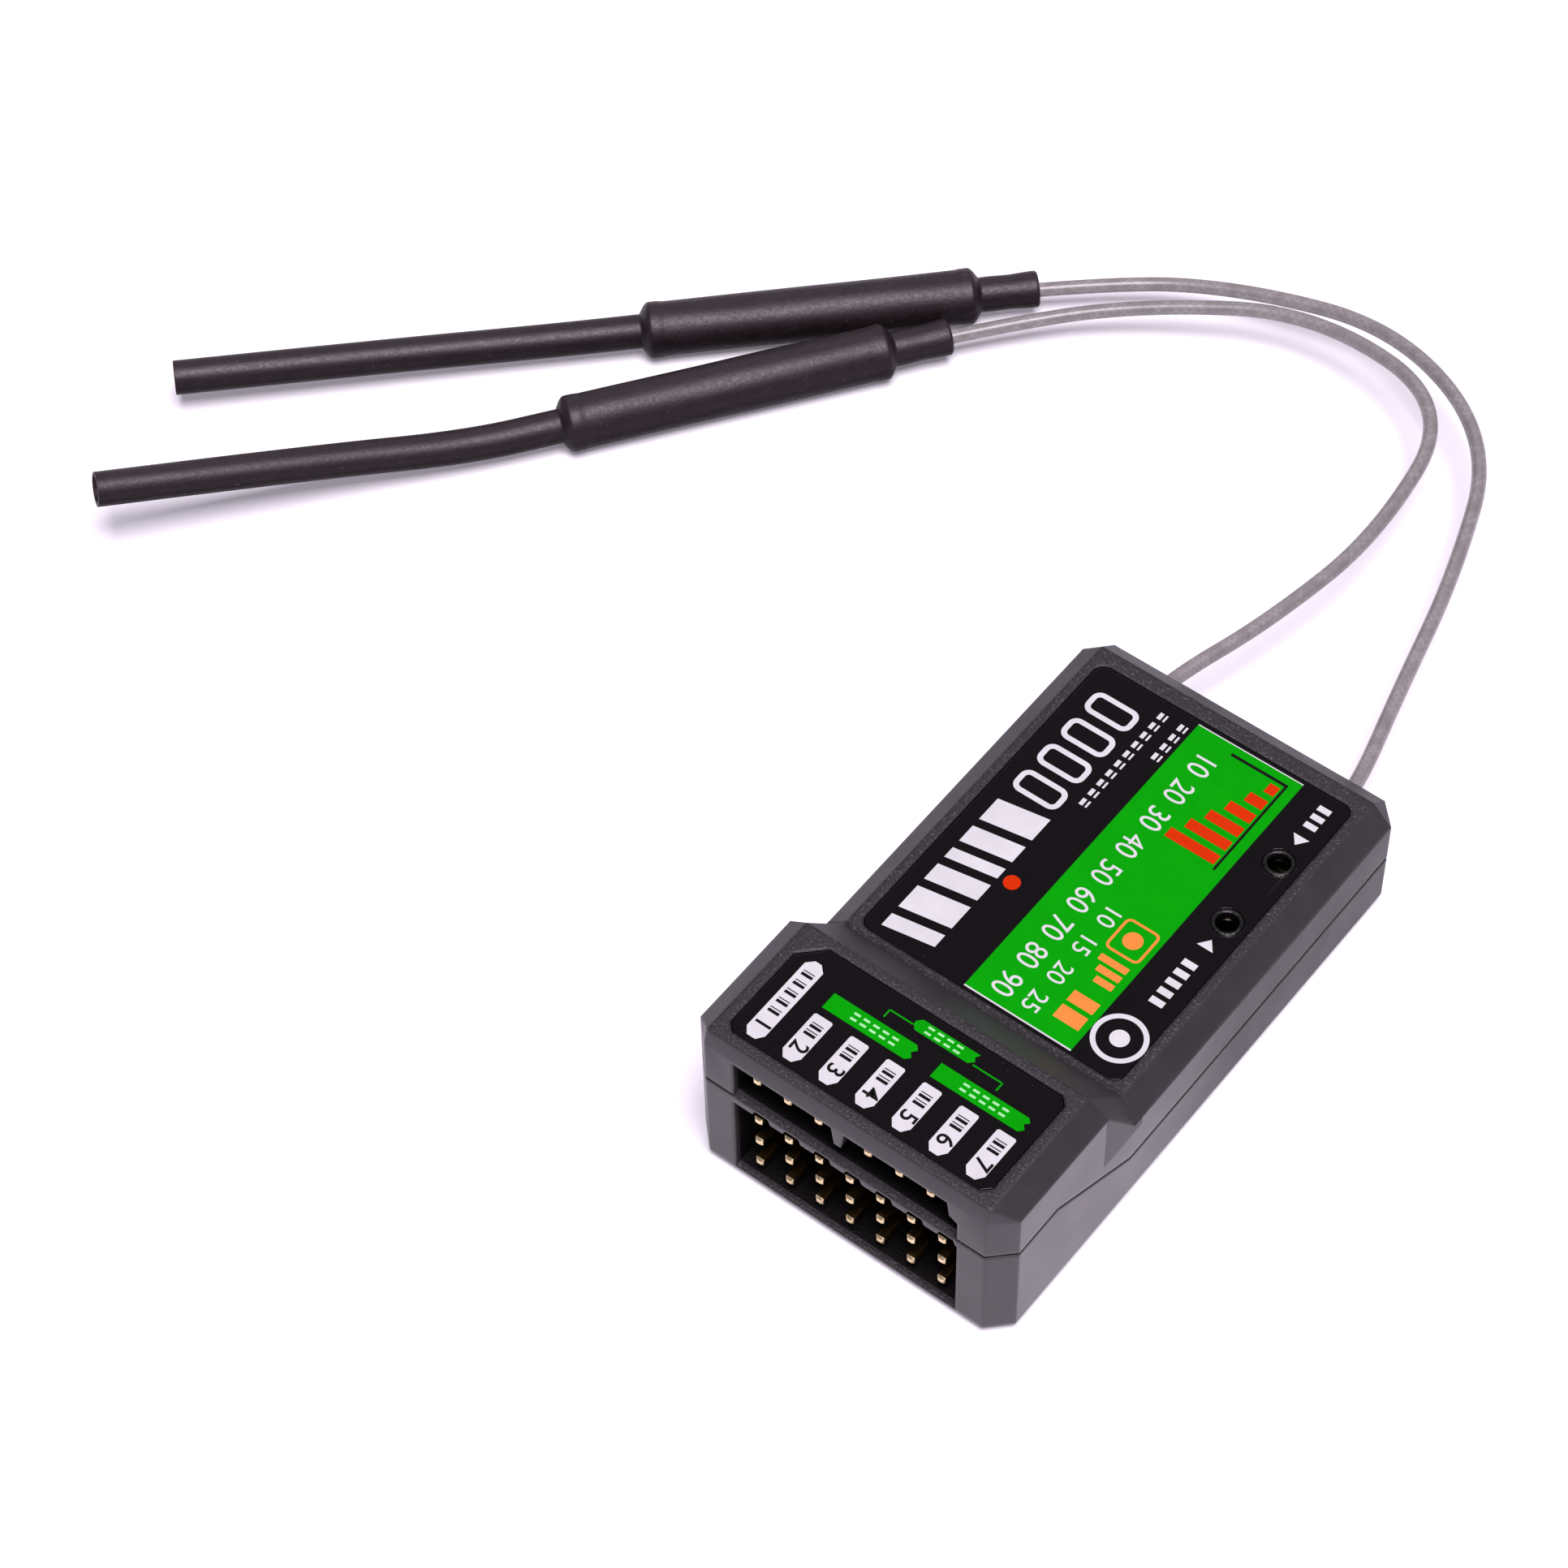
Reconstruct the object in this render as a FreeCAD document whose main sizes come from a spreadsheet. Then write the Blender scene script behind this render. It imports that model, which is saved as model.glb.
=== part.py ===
import FreeCAD, Part
import math
import os
import Sketcher

# A radio control receiver: a two part moulded case with a raised port end, two boards
# inside, rows of square pins and two coax antennas that end in heat-shrink sleeves.
# Millimetres. X is the width, minus Y the port end, plus Y the antenna end, Z up.
# The origin is under the middle of the case, on the surface that it rests on.

SIZES = [
    # case outline
    ("housing_length", 47.0),
    ("housing_width", 26.2),
    ("deck_height", 10.2),
    ("corner_cut", 1.6),
    ("bevel_width", 1.6),
    ("bevel_drop", 1.4),
    ("nose_depth", 0.4),
    ("nose_drop", 1.2),
    ("front_deck_length", 11.1),
    ("step_run", 4.05),
    ("wall_step_lead", 0.2),
    ("wall_step_lag", 0.55),
    ("base_radius", 1.0),
    # split between the two shells
    ("seam_rear_height", 5.3),
    ("seam_front_length", 5.8),
    ("seam_slope_length", 8.5),
    ("seam_gap", 0.24),
    ("seam_depth", 0.45),
    # walls
    ("wall_thickness", 1.3),
    ("floor_thickness", 0.9),
    ("roof_thickness", 0.75),
    ("step_wall", 0.9),
    # labels and their recesses
    ("recess_depth", 0.3),
    ("label_thickness", 0.22),
    ("label_gap", 0.08),
    ("main_side_rim", 0.7),
    ("main_front_rim", 0.65),
    ("main_rear_rim", 1.2),
    ("main_recess_radius", 0.9),
    ("port_rim", 0.8),
    ("port_corner_cut", 0.6),
    ("port_long_cut", 1.65),
    ("ring_outer", 2.2),
    ("ring_inner", 1.7),
    ("ring_gap", 0.1),
    ("hole_inset", 2.4),
    ("led_inset", 8.1),
    ("hole_spacing", 6.25),
    # pins, headers and port
    ("channel_count", 7),
    ("bus_pin_count", 3),
    ("pin_pitch", 2.54),
    ("pin_width", 0.64),
    ("pin_tip_cut", 0.15),
    ("pin_recess", 0.5),
    ("pin_mate_length", 6.0),
    ("pin_tail", 0.95),
    ("pin_row_height", 2.2),
    ("bar_thickness", 1.0),
    ("bus_row_gap", 0.98),
    ("port_roof", 1.28),
    ("bus_group_shift", 9.15),
    ("header_thickness", 2.54),
    ("port_clearance", 0.35),
    ("bar_clearance", 0.25),
    ("notch_width", 1.45),
    ("notch_top_width", 1.1),
    ("notch_depth", 0.5),
    ("notch_shift", 0.75),
    ("slot_clearance", 0.1),
    ("slot_left_clearance", 0.3),
    ("slot_right_clearance", 0.5),
    ("slot_shoulder_drop", 1.4),
    ("slot_shoulder_run", 0.2),
    ("slot_shoulder_fall", 0.4),
    ("divider_width", 1.05),
    ("divider_tip_width", 0.55),
    ("divider_drop", 1.7),
    # boards
    ("board_thickness", 1.2),
    ("board_side_gap", 0.4),
    ("board_end_gap", 0.4),
    ("board_play", 0.1),
    ("board_slot_rib", 1.0),
    ("board_slot_height", 4.5),
    # posts and pegs that join the shells through the main board
    ("post_radius", 1.3),
    ("peg_radius", 0.6),
    ("peg_clearance", 0.08),
    ("peg_depth", 1.3),
    ("post_inset", 1.6),
    ("post_front_gap", 4.06),
    ("post_rear_inset", 2.0),
    # parts on the main board
    ("shield_width", 10.0),
    ("shield_length", 8.0),
    ("shield_height", 2.2),
    ("shield_sheet", 0.2),
    ("shield_plug_gap", 10.4),
    ("radio_side", 5.0),
    ("radio_height", 0.9),
    ("controller_side", 5.0),
    ("controller_height", 1.1),
    ("controller_across", -1.0),
    ("controller_gap", 5.3),
    ("crystal_width", 3.2),
    ("crystal_length", 2.5),
    ("crystal_height", 0.8),
    ("crystal_inset", 6.3),
    ("crystal_lag", 1.8),
    ("regulator_width", 3.5),
    ("regulator_length", 4.6),
    ("regulator_height", 1.5),
    ("regulator_inset", 3.3),
    ("regulator_lag", 5.6),
    ("capacitor_width", 1.3),
    ("capacitor_length", 2.0),
    ("capacitor_height", 1.25),
    ("capacitor_inset", 2.2),
    ("capacitor_lag", 3.8),
    ("capacitor_spacing", 2.6),
    ("led_width", 0.8),
    ("led_length", 1.6),
    ("led_height", 0.6),
    ("pad_radius", 0.9),
    ("pad_height", 0.15),
    # antenna leads and their inner plugs
    ("lead_diameter", 1.13),
    ("lead_inset", 3.8),
    ("lead_hole_clearance", 0.15),
    ("plug_inset", 4.8),
    ("plug_radius", 1.25),
    ("plug_height", 1.1),
    ("plug_barrel_radius", 0.75),
    ("plug_barrel_length", 1.0),
    ("socket_radius", 1.0),
    # antenna sleeves
    ("sleeve_body_diameter", 4.4),
    ("sleeve_body_length", 25.8),
    ("sleeve_neck_diameter", 2.75),
    ("sleeve_shoulder", 1.0),
    ("sleeve_wall", 0.3),
    ("collar_length", 4.6),
    ("dipole_diameter", 3.6),
    ("dipole_wall", 0.3),
    ("dipole_inset", 1.2),
    ("core_diameter", 0.9),
    ("lead_run_in_wall", 0.7),
    ("lead_run_before_sleeve", 5.5),
    ("lead_depth_in_sleeve", 9.4),
    ("tube_first_run", 8.0),
]

# Routes of the two leads, from the plug inside the case out to the mouth of the sleeve,
# followed by the line of the sleeve: mouth, far end of its wide body, and the open tip.
RIGHT_LEAD = [
    (7.94, 26.3, 5.3), (5.8, 34.48, 5.39), (3.14, 45.9, 5.53), (-1.61, 58.63, 5.42),
    (-13.72, 64.74, 4.55), (-26.23, 62.29, 3.15)]
RIGHT_SLEEVE = [(-39.6, 53.25, 2.25), (-60.86, 31.81, 2.25), (-75.7, 16.6, 2.7), (-86.5, 5.2, 3.2)]
LEFT_LEAD = [
    (-7.82, 26.19, 5.3), (-5.31, 34.34, 5.39), (-3.43, 45.75, 5.53), (-5.71, 59.81, 5.68),
    (-19.9, 62.33, 4.52), (-30.82, 56.48, 3.32)]
LEFT_SLEEVE = [(-42.13, 45.07, 2.25), (-60.08, 20.17, 2.25), (-71.6, 4.9, 4.0), (-81.3, -8.6, 6.6)]
RUN_SHARE = 0.45
LEAD_SIDES = 12

document = FreeCAD.newDocument("receiver")
sheet = document.addObject("Spreadsheet::Sheet", "Sizes")
for row, (alias, value) in enumerate(SIZES, start=1):
    sheet.set("A%d" % row, alias.replace("_", " "))
    sheet.set("B%d" % row, str(value))
    sheet.setAlias("B%d" % row, alias)
document.recompute()


def value_of(expression):
    """Number that an expression of the sheet gives now."""
    result = sheet.evalExpression(str(expression))
    return float(getattr(result, "Value", result))


def size(alias):
    return value_of("Sizes." + alias)


# Places that several pieces share, as expressions of the sheet.
HALF_WIDTH = "(Sizes.housing_width / 2)"
FRONT = "(-Sizes.housing_length / 2)"
REAR = "(Sizes.housing_length / 2)"
DECK_HALF = "(%s - Sizes.bevel_width)" % HALF_WIDTH
FRONT_DECK_END = "(%s + Sizes.front_deck_length)" % FRONT
STEP_FOOT = "(%s + Sizes.step_run)" % FRONT_DECK_END
DECK_REAR = "(%s - Sizes.bevel_width)" % REAR
INNER_HALF = "(%s - Sizes.wall_thickness)" % HALF_WIDTH
INNER_REAR = "(%s - Sizes.wall_thickness)" % REAR
PIN_TIP = "(%s + Sizes.pin_recess)" % FRONT
HEADER_FACE = "(%s + Sizes.pin_mate_length)" % PIN_TIP
PORT_BOARD_FACE = "(%s + Sizes.header_thickness)" % HEADER_FACE
PORT_BOARD_BACK = "(%s + Sizes.board_thickness)" % PORT_BOARD_FACE
CHAMBER_FRONT = "(%s - Sizes.board_play)" % PORT_BOARD_FACE
SERVO_HALF = "(Sizes.channel_count * Sizes.pin_pitch / 2)"
FIRST_COLUMN = "(-(Sizes.channel_count - 1) * Sizes.pin_pitch / 2)"
PORT_HALF = "(%s + Sizes.port_clearance)" % SERVO_HALF
BAR_BOTTOM = "(Sizes.pin_row_height + Sizes.pin_pitch * 2.5 + Sizes.bar_clearance)"
SEAM_FRONT_HEIGHT = "(%s + Sizes.bar_thickness)" % BAR_BOTTOM
BUS_ROW_HEIGHT = "(%s + Sizes.bus_row_gap + Sizes.pin_pitch / 2)" % SEAM_FRONT_HEIGHT
SLOT_TOP = "(%s + Sizes.pin_pitch / 2 + Sizes.slot_clearance)" % BUS_ROW_HEIGHT
FRONT_HEIGHT = "(%s + Sizes.port_roof + Sizes.recess_depth)" % SLOT_TOP
SLOT_LEFT = "(%s - Sizes.pin_pitch / 2 - Sizes.slot_left_clearance)" % FIRST_COLUMN
BUS_GROUP_WIDTH = "(Sizes.bus_pin_count * Sizes.pin_pitch)"
BUS_LEFT_START = "(%s - Sizes.pin_pitch / 2)" % FIRST_COLUMN
BUS_RIGHT_START = "(%s + Sizes.bus_group_shift)" % BUS_LEFT_START
SLOT_RIGHT = "(%s + %s + Sizes.slot_right_clearance)" % (BUS_RIGHT_START, BUS_GROUP_WIDTH)
DIVIDER_MIDDLE = "((%s + %s + %s) / 2)" % (BUS_LEFT_START, BUS_GROUP_WIDTH, BUS_RIGHT_START)
MAIN_BOARD_BOTTOM = "(Sizes.pin_row_height + (Sizes.pin_pitch - Sizes.board_thickness) / 2)"
MAIN_BOARD_TOP = "(%s + Sizes.board_thickness)" % MAIN_BOARD_BOTTOM
MAIN_CEILING = "(Sizes.deck_height - Sizes.recess_depth - Sizes.roof_thickness)"
RECESS_FLOOR = "(Sizes.deck_height - Sizes.recess_depth)"
PORT_RECESS_FLOOR = "(%s - Sizes.recess_depth)" % FRONT_HEIGHT
SEAM_SLOPE_START = "(%s + Sizes.seam_front_length)" % FRONT
SEAM_SLOPE_END = "(%s + Sizes.seam_slope_length)" % SEAM_SLOPE_START
LEAD_HALF = "(%s - Sizes.lead_inset)" % INNER_HALF
PLUG_BOTTOM = "(Sizes.seam_rear_height - Sizes.plug_height / 2)"
PLUG_PLACE = "(%s - Sizes.plug_inset)" % INNER_REAR
PLUG_END = "(%s + Sizes.plug_radius + Sizes.plug_barrel_length)" % PLUG_PLACE
HOLE_SIDE = "(%s - Sizes.hole_inset)" % DECK_HALF
LED_PLACE = "(%s - Sizes.led_inset)" % DECK_REAR
UPDATE_PLACE = "(%s - Sizes.hole_spacing)" % LED_PLACE
POST_SIDE = "(%s - Sizes.post_inset)" % INNER_HALF
FRONT_POST = "(%s + Sizes.post_front_gap)" % PORT_BOARD_BACK
REAR_POST = "(%s - Sizes.post_rear_inset)" % INNER_REAR
SHIELD_PLACE = "(%s - Sizes.shield_plug_gap)" % PLUG_PLACE
CONTROLLER_PLACE = "(%s + Sizes.controller_gap)" % PORT_BOARD_BACK
CRYSTAL_SIDE = "(%s - Sizes.crystal_inset)" % INNER_HALF
CRYSTAL_PLACE = "(%s + Sizes.crystal_lag)" % FRONT_POST
REGULATOR_SIDE = "(Sizes.regulator_inset - %s)" % INNER_HALF
REGULATOR_PLACE = "(%s + Sizes.regulator_lag)" % FRONT_POST
CAPACITOR_SIDE = "(Sizes.capacitor_inset - %s)" % INNER_HALF
CAPACITOR_PLACE = "(%s + Sizes.capacitor_lag)" % REGULATOR_PLACE


def origin_feature(body, role):
    for feature in body.Origin.OriginFeatures:
        if feature.Role == role:
            return feature
    raise ValueError("no origin feature " + role)


def new_body(name):
    return document.addObject("PartDesign::Body", name)


def new_sketch(body, name, plane, offset="0"):
    """Sketch on a plane of the body's own origin, moved along the plane's normal."""
    sketch = body.newObject("Sketcher::SketchObject", name)
    sketch.AttachmentSupport = [(origin_feature(body, plane), "")]
    sketch.MapMode = "FlatFace"
    sketch.setExpression("AttachmentOffset.Base.z", offset)
    return sketch


def bind_point(sketch, line, end, place):
    """Hold one end of a line at a place that two expressions give."""
    for kind, expression in (("DistanceX", place[0]), ("DistanceY", place[1])):
        index = sketch.addConstraint(Sketcher.Constraint(kind, line, end, value_of(expression)))
        sketch.setExpression("Constraints[%d]" % index, str(expression))


def polygon(body, name, plane, points, offset="0"):
    """Closed outline of straight lines, each corner held by two expressions."""
    sketch = new_sketch(body, name, plane, offset)
    add_outline(sketch, points)
    return sketch


def add_outline(sketch, points):
    corners = [FreeCAD.Vector(value_of(x), value_of(y), 0) for x, y in points]
    first = sketch.GeometryCount
    count = len(points)
    for index in range(count):
        line = Part.LineSegment(corners[index], corners[(index + 1) % count])
        sketch.addGeometry(line, False)
    for index in range(count):
        after = first + (index + 1) % count
        sketch.addConstraint(Sketcher.Constraint("Coincident", first + index, 2, after, 1))
    for index in range(count):
        bind_point(sketch, first + index, 1, points[index])


def rectangle(body, name, plane, left, right, low, high, offset="0"):
    return polygon(body, name, plane, [(left, low), (right, low), (right, high), (left, high)], offset)


def circles(body, name, plane, centres, radius, offset="0"):
    """One or more circles of one radius, their centres held by expressions."""
    sketch = new_sketch(body, name, plane, offset)
    for x, y in centres:
        middle = FreeCAD.Vector(value_of(x), value_of(y), 0)
        circle = Part.Circle(middle, FreeCAD.Vector(0, 0, 1), value_of(radius))
        index = sketch.addGeometry(circle, False)
        bind_point(sketch, index, 3, (x, y))
        held = sketch.addConstraint(Sketcher.Constraint("Radius", index, value_of(radius)))
        sketch.setExpression("Constraints[%d]" % held, str(radius))
    return sketch


def pad(body, name, sketch, length, reversed_way=False, symmetric=False):
    feature = body.newObject("PartDesign::Pad", name)
    feature.Profile = sketch
    feature.Reversed = reversed_way
    if symmetric:
        feature.SideType = "Symmetric"
    feature.setExpression("Length", length)
    return feature


def pocket(body, name, sketch, length=None, reversed_way=False, symmetric=False):
    """Cut of a given length, or through everything on its side when none is given."""
    feature = body.newObject("PartDesign::Pocket", name)
    feature.Profile = sketch
    feature.Reversed = reversed_way
    if symmetric:
        feature.SideType = "Symmetric"
    if length is None:
        feature.Type = "ThroughAll"
    else:
        feature.setExpression("Length", length)
    return feature


def checked_cut(feature):
    """Recompute and make sure that a cut has taken something away."""
    before = feature.BaseFeature.Shape.Volume
    document.recompute()
    if feature.Shape.Volume >= before:
        raise ValueError("cut takes nothing away: " + feature.Name)
    return feature


def checked_add(feature):
    """Recompute and make sure that a feature has added something."""
    before = feature.BaseFeature.Shape.Volume
    document.recompute()
    if feature.Shape.Volume <= before:
        raise ValueError("feature adds nothing: " + feature.Name)
    return feature


def edges_where(shape, test):
    names = []
    for index, edge in enumerate(shape.Edges, start=1):
        if test(edge):
            names.append("Edge%d" % index)
    return names


def fillet(body, name, base, test, radius):
    feature = body.newObject("PartDesign::Fillet", name)
    feature.Base = (base, edges_where(base.Shape, test))
    feature.setExpression("Radius", radius)
    document.recompute()
    return feature


def chamfer(body, name, base, test, length):
    feature = body.newObject("PartDesign::Chamfer", name)
    feature.Base = (base, edges_where(base.Shape, test))
    feature.setExpression("Size", length)
    document.recompute()
    return feature


def row_pattern(body, name, original, spacing, count):
    """Copies of a feature along X."""
    pattern = body.newObject("PartDesign::LinearPattern", name)
    pattern.Originals = [original]
    pattern.Direction = (origin_feature(body, "X_Axis"), [""])
    pattern.Mode = "Spacing"
    pattern.setExpression("Offset", spacing)
    pattern.setExpression("Occurrences", count)
    body.Tip = pattern
    return pattern


def box(name, left, right, front, back, low, high):
    solid = document.addObject("Part::Box", name)
    solid.setExpression("Length", "%s - %s" % (right, left))
    solid.setExpression("Width", "%s - %s" % (back, front))
    solid.setExpression("Height", "%s - %s" % (high, low))
    solid.setExpression("Placement.Base.x", left)
    solid.setExpression("Placement.Base.y", front)
    solid.setExpression("Placement.Base.z", low)
    return solid


def cylinder(name, radius, height, x, y, z, toward_rear=False):
    solid = document.addObject("Part::Cylinder", name)
    solid.setExpression("Radius", radius)
    solid.setExpression("Height", height)
    if toward_rear:
        solid.Placement = FreeCAD.Placement(FreeCAD.Vector(), FreeCAD.Rotation(FreeCAD.Vector(1, 0, 0), -90))
    solid.setExpression("Placement.Base.x", x)
    solid.setExpression("Placement.Base.y", y)
    solid.setExpression("Placement.Base.z", z)
    return solid


def fuse(name, shapes):
    union = document.addObject("Part::MultiFuse", name)
    union.Shapes = shapes
    return union


def cut(name, base, tool):
    result = document.addObject("Part::Cut", name)
    result.Base = base
    result.Tool = tool
    return result


def common(name, base, tool):
    result = document.addObject("Part::Common", name)
    result.Base = base
    result.Tool = tool
    return result


# The outside of the case

def case_prism():
    """Upright block with the cut corners and the rounded bottom edge."""
    body = new_body("case_prism")
    half = HALF_WIDTH
    inner = "(%s - Sizes.corner_cut)" % half
    near = "(%s + Sizes.corner_cut)" % FRONT
    far = "(%s - Sizes.corner_cut)" % REAR
    outline = polygon(body, "plan_outline", "XY_Plane", [
        ("-" + inner, FRONT), (inner, FRONT), (half, near), (half, far),
        (inner, REAR), ("-" + inner, REAR), ("-" + half, far), ("-" + half, near)])
    block = pad(body, "plan_block", outline, FRONT_HEIGHT)
    document.recompute()
    fillet(body, "base_rounding", block, lambda edge: edge.BoundBox.ZMax < 0.01, "Sizes.base_radius")
    return body


def case_top():
    """Four side profiles joined by ruled faces, which gives the decks, the slope between
    them, the wide side bevels and the facets above the cut corners together."""
    body = new_body("case_top")
    wall_top_front = "(%s - Sizes.bevel_drop)" % FRONT_HEIGHT
    wall_top_rear = "(Sizes.deck_height - Sizes.bevel_drop)"
    corner_front = "(%s + Sizes.corner_cut)" % FRONT
    corner_rear = "(%s - Sizes.corner_cut)" % REAR
    seat = "Sizes.bevel_drop / 20"
    middle = [
        (FRONT, "0"),
        (FRONT, "%s - Sizes.nose_drop" % FRONT_HEIGHT),
        ("%s + Sizes.nose_depth" % FRONT, FRONT_HEIGHT),
        (FRONT_DECK_END, FRONT_HEIGHT),
        (STEP_FOOT, "Sizes.deck_height"),
        (DECK_REAR, "Sizes.deck_height"),
        (REAR, wall_top_rear),
        (REAR, "0")]
    side = [
        (corner_front, "0"),
        (corner_front, "%s - %s" % (wall_top_front, seat)),
        ("%s + %s" % (corner_front, seat), wall_top_front),
        ("%s + Sizes.wall_step_lead" % FRONT_DECK_END, wall_top_front),
        ("%s - Sizes.wall_step_lag" % STEP_FOOT, wall_top_rear),
        ("%s - %s" % (corner_rear, seat), wall_top_rear),
        (corner_rear, "%s - %s" % (wall_top_rear, seat)),
        (corner_rear, "0")]
    sections = [
        polygon(body, "left_side", "YZ_Plane", side, "-" + HALF_WIDTH),
        polygon(body, "left_deck_edge", "YZ_Plane", middle, "-" + DECK_HALF),
        polygon(body, "right_deck_edge", "YZ_Plane", middle, DECK_HALF),
        polygon(body, "right_side", "YZ_Plane", side, HALF_WIDTH)]
    loft = body.newObject("PartDesign::AdditiveLoft", "case_loft")
    loft.Profile = sections[0]
    loft.Sections = sections[1:]
    loft.Ruled = True
    return body


def seam_line(drop, reach):
    """Side view of everything below the split, lowered by drop."""
    bottom = "(-%s)" % FRONT_HEIGHT
    return [
        ("%s - %s" % (FRONT, reach), bottom),
        ("%s - %s" % (FRONT, reach), "%s - %s" % (SEAM_FRONT_HEIGHT, drop)),
        (SEAM_SLOPE_START, "%s - %s" % (SEAM_FRONT_HEIGHT, drop)),
        (SEAM_SLOPE_END, "Sizes.seam_rear_height - %s" % drop),
        ("%s + %s" % (REAR, reach), "Sizes.seam_rear_height - %s" % drop),
        ("%s + %s" % (REAR, reach), bottom)]


def below_seam(name, drop):
    body = new_body(name)
    sketch = polygon(body, name + "_profile", "YZ_Plane", seam_line(drop, "Sizes.bevel_width"))
    pad(body, name + "_pad", sketch, "Sizes.housing_width * 1.5", symmetric=True)
    return body


def seam_land():
    """Block just inside the outer walls, so that the split shows as a thin dark groove."""
    body = new_body("seam_land")
    inset = "Sizes.seam_depth"
    ease = "Sizes.seam_depth * 0.414"
    half = "(%s - %s)" % (HALF_WIDTH, inset)
    deck = "(%s - %s)" % (DECK_HALF, ease)
    near = "(%s + %s)" % (FRONT, inset)
    far = "(%s - %s)" % (REAR, inset)
    near_corner = "(%s + Sizes.corner_cut + %s)" % (FRONT, ease)
    far_corner = "(%s - Sizes.corner_cut - %s)" % (REAR, ease)
    outline = [
        ("-" + deck, near), (deck, near), (half, near_corner), (half, far_corner),
        (deck, far), ("-" + deck, far), ("-" + half, far_corner), ("-" + half, near_corner)]
    sketch = polygon(body, "land_outline", "XY_Plane", outline)
    pad(body, "land_pad", sketch, FRONT_HEIGHT)
    return body


def shell_body(name, base):
    body = new_body(name)
    body.BaseFeature = base
    document.recompute()
    return body


def lead_holes(body, name):
    sketch = circles(body, name + "_outline", "XZ_Plane",
                     [("-" + LEAD_HALF, "Sizes.seam_rear_height"), (LEAD_HALF, "Sizes.seam_rear_height")],
                     "Sizes.lead_diameter / 2 + Sizes.lead_hole_clearance", "-(%s + 1)" % REAR)
    return checked_cut(pocket(body, name, sketch, "Sizes.wall_thickness * 2 + 1", reversed_way=True))


def post_places():
    places = []
    for along in (FRONT_POST, REAR_POST):
        for across in ("-" + POST_SIDE, POST_SIDE):
            places.append((across, along))
    return places


def lower_shell(outside, below, land, groove):
    """Tub with the servo port at its front, the scalloped bar above it and board supports."""
    blank = common("lower_blank", outside, fuse("lower_limits", [groove, common("lower_land", below, land)]))
    body = shell_body("lower_shell", blank)
    room = rectangle(body, "room_outline", "XY_Plane", "-" + INNER_HALF, INNER_HALF, CHAMBER_FRONT,
                     INNER_REAR, "Sizes.floor_thickness")
    checked_cut(pocket(body, "room", room, reversed_way=True))
    port = rectangle(body, "port_outline", "XZ_Plane", "-" + PORT_HALF, PORT_HALF,
                     "Sizes.floor_thickness", BAR_BOTTOM, "-" + FRONT)
    checked_cut(pocket(body, "port", port, "%s - %s" % (CHAMBER_FRONT, FRONT), reversed_way=False))
    middle = "(%s + Sizes.notch_shift)" % FIRST_COLUMN
    roof = "(%s + Sizes.notch_depth)" % BAR_BOTTOM
    under = "(%s - Sizes.bar_clearance)" % BAR_BOTTOM
    flare = "(Sizes.notch_width / 2)"
    notch = polygon(body, "notch_outline", "XZ_Plane", [
        ("%s - %s" % (middle, flare), under),
        ("%s + %s" % (middle, flare), under),
        ("%s + %s" % (middle, flare), BAR_BOTTOM),
        ("%s + Sizes.notch_top_width / 2" % middle, roof),
        ("%s - Sizes.notch_top_width / 2" % middle, roof),
        ("%s - %s" % (middle, flare), BAR_BOTTOM)], "-" + FRONT)
    first = checked_cut(pocket(body, "first_notch", notch, "%s - %s" % (HEADER_FACE, FRONT)))
    row_pattern(body, "notches", first, "Sizes.pin_pitch", "Sizes.channel_count")
    document.recompute()
    supports = circles(body, "post_outline", "XY_Plane", post_places(), "Sizes.post_radius",
                       "Sizes.floor_thickness")
    checked_add(pad(body, "board_posts", supports, "%s - Sizes.floor_thickness" % MAIN_BOARD_BOTTOM))
    bores = circles(body, "bore_outline", "XY_Plane", post_places(),
                    "Sizes.peg_radius + Sizes.peg_clearance", MAIN_BOARD_BOTTOM)
    checked_cut(pocket(body, "peg_bores", bores, "Sizes.peg_depth + Sizes.peg_clearance"))
    board_ribs(body)
    lead_holes(body, "lower_lead_notches")
    return body


def board_ribs(body):
    """Short upright ribs on the side walls behind the port board, which hold its edges."""
    near = "(%s + Sizes.board_play)" % PORT_BOARD_BACK
    far = "(%s + Sizes.board_slot_rib)" % near
    sketch = new_sketch(body, "rib_outline", "XY_Plane", "Sizes.floor_thickness")
    inner = "(%s - Sizes.board_side_gap - Sizes.board_slot_rib)" % INNER_HALF
    for side in ("", "-"):
        wall = "%s%s" % (side, INNER_HALF)
        tip = "%s%s" % (side, inner)
        add_outline(sketch, [(wall, near), (tip, near), (tip, far), (wall, far)])
    checked_add(pad(body, "board_ribs", sketch, "Sizes.board_slot_height"))


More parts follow.
